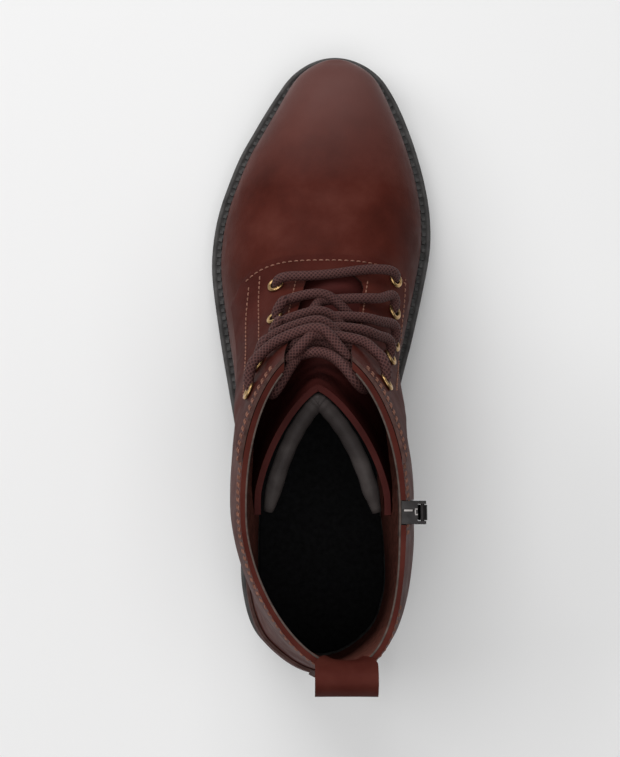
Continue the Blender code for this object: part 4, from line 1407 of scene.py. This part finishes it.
pull_loop = sheet(
    "pull_loop_leather", 80, 14, loop_place, LOOP_THICK, [OVERLAY_LEATHER, OVERLAY_LEATHER, CUT_EDGE]
)
stand_for(pull_loop, "leather_overlay", "pull_loop")


# The raw edge of the lining, a thin pale line inside the collar

RAW_TURN = 2.62
RAW_STEPS = 240
raw_points = [
    off_face(COLLAR_SECTION - 0.02, mix(-RAW_TURN, RAW_TURN, step / RAW_STEPS), -(WALL + 0.0002))
    for step in range(RAW_STEPS + 1)
]
stand_for(tube("collar_raw_edge", raw_points, 0.00042, RAW_EDGE, 8), "padded_cloth")


# Stitches


def seam(name, points):
    """Stitches along places on the leather, each a short rounded bar that dips at its ends."""
    shape = bmesh.new()
    places = [place for place, _ in points]
    for middle, way in run_along(places, STITCH_PITCH, False):
        near = min(range(len(places)), key=lambda number: (places[number] - middle).length_squared)
        if (places[near] - middle).length_squared > (2.2 * STITCH_PITCH) ** 2:
            continue
        up = points[near][1]
        side = way.cross(up).normalized()
        rings = []
        for part, wide, sink in STITCH_SECTIONS:
            centre = middle + way * STITCH_PITCH * 0.72 * part + up * STITCH_RADIUS * sink
            ring = []
            for corner in range(STITCH_SIDES):
                turn = 2 * math.pi * corner / STITCH_SIDES
                ring.append(shape.verts.new(
                    centre + side * math.cos(turn) * STITCH_RADIUS * wide
                    + up * math.sin(turn) * STITCH_RADIUS * wide
                ))
            rings.append(ring)
        for one, two in zip(rings, rings[1:]):
            bridge(shape, one, two)
        shape.faces.new(list(reversed(rings[0])))
        shape.faces.new(rings[-1])
    stand_for(from_bmesh(name, shape, THREAD), "leather")


def ray(origin, way, reach=0.4):
    """Where a ray meets the outermost leather, a little above it, and the way it faces."""
    place, normal, _, _ = LEATHER_TREE.ray_cast(origin, way, reach)
    if place is None:
        return None
    if normal.dot(way) > 0:
        normal = -normal
    return place + normal * STITCH_LIFT, normal


def top_line(points, parts=10):
    """Places on the leather along a smooth plan line, points in millimetres."""
    found = []
    for step in range((len(points) - 1) * parts + 1):
        at = min(len(points) - 1 - 1e-9, step / parts)
        x = spline(points, 0, at) / 1000
        y = spline(points, 1, at) / 1000
        found.append(ray(Vector((x, y, 0.3)), Vector((0, 0, -1))))
    return [spot for spot in found if spot]


def leg_line(section, first, last, count=160):
    """Places on the leather around the leg at one section, between two turns."""
    found = []
    for step in range(count + 1):
        turn = mix(first, last, step / count)
        normal = upper_normal(section, turn)
        found.append(ray(upper_point(section, turn) + normal * 0.01, -normal, 0.0115))
    return [spot for spot in found if spot]


STITCH_LIFT = 0.00012
STITCH_PITCH = 0.0027
STITCH_RADIUS = 0.00032
STITCH_SIDES = 6
# Along a stitch: share of its length, width and height, both in radii
STITCH_SECTIONS = (
    (-0.5, 0.35, -0.9), (-0.36, 0.9, -0.1), (0.0, 1.05, 0.25), (0.36, 0.9, -0.1), (0.5, 0.35, -0.9)
)
front_row = []
for step in range(21):
    part = step / 20
    x = mix(-FACING_SIDE_OUTER, FACING_SIDE_INNER, part) * 0.955
    y = along(FACING_FRONT) - 0.0028 - 0.0080 * (2 * part - 1) ** 4
    front_row.append((x * 1000, y * 1000))
seam("stitches_facing_front", top_line(front_row, 3))
for side, sign in (("outer", -1), ("inner", 1)):
    edge = []
    for step in range(15):
        y = mix(along(THROAT_FRONT) - 0.004, along(SECTIONS[-1][0]) + 0.004, step / 14)
        half = THROAT_HALF_WIDTH + 0.0026
        edge.append(((throat_middle(y) + sign * half) * 1000, y * 1000))
    seam("stitches_throat_" + side, top_line(edge, 5))
STAY_SEAMS = {
    # plan lines in millimetres
    "outer": [(-31.1, 132.0), (-31.9, 117.0), (-31.3, 102.2), (-31.1, 90.6), (-30.7, 80.0)],
    "outer_2": [(-26.4, 136.5), (-26.6, 124.1), (-26.0, 112.0), (-25.6, 100.6), (-25.4, 92.0)],
    "inner": [(36.6, 137.6), (36.0, 128.0), (34.6, 117.2), (32.2, 100.0), (29.0, 84.0)],
}
for side, plan in STAY_SEAMS.items():
    seam("stitches_stay_" + side, top_line(plan))
for number, drop in enumerate((0.22, 0.40)):
    for side, first, last in (("outer", -0.95, -2.60), ("inner", 1.40, 2.60)):
        line = leg_line(COLLAR_SECTION - drop, first, last)
        seam("stitches_collar_%s_%d" % (side, number + 1), line)
seam("stitches_collar_back", leg_line(COLLAR_SECTION - 0.22, -0.95, 0.95))


# Cutters out and floor in

drop_cutters()
floor_mesh = bpy.data.meshes.new("floor")
floor_mesh.from_pydata([(-6, -6, 0), (6, -6, 0), (6, 6, 0), (-6, 6, 0)], [], [(0, 1, 2, 3)])
floor_look = Look("pale_floor", FLOOR_COLOUR, 0.9)
floor_look.set(Specular_IOR_Level=0.1)
floor = add_object("floor", floor_mesh, [floor_look.material], False)
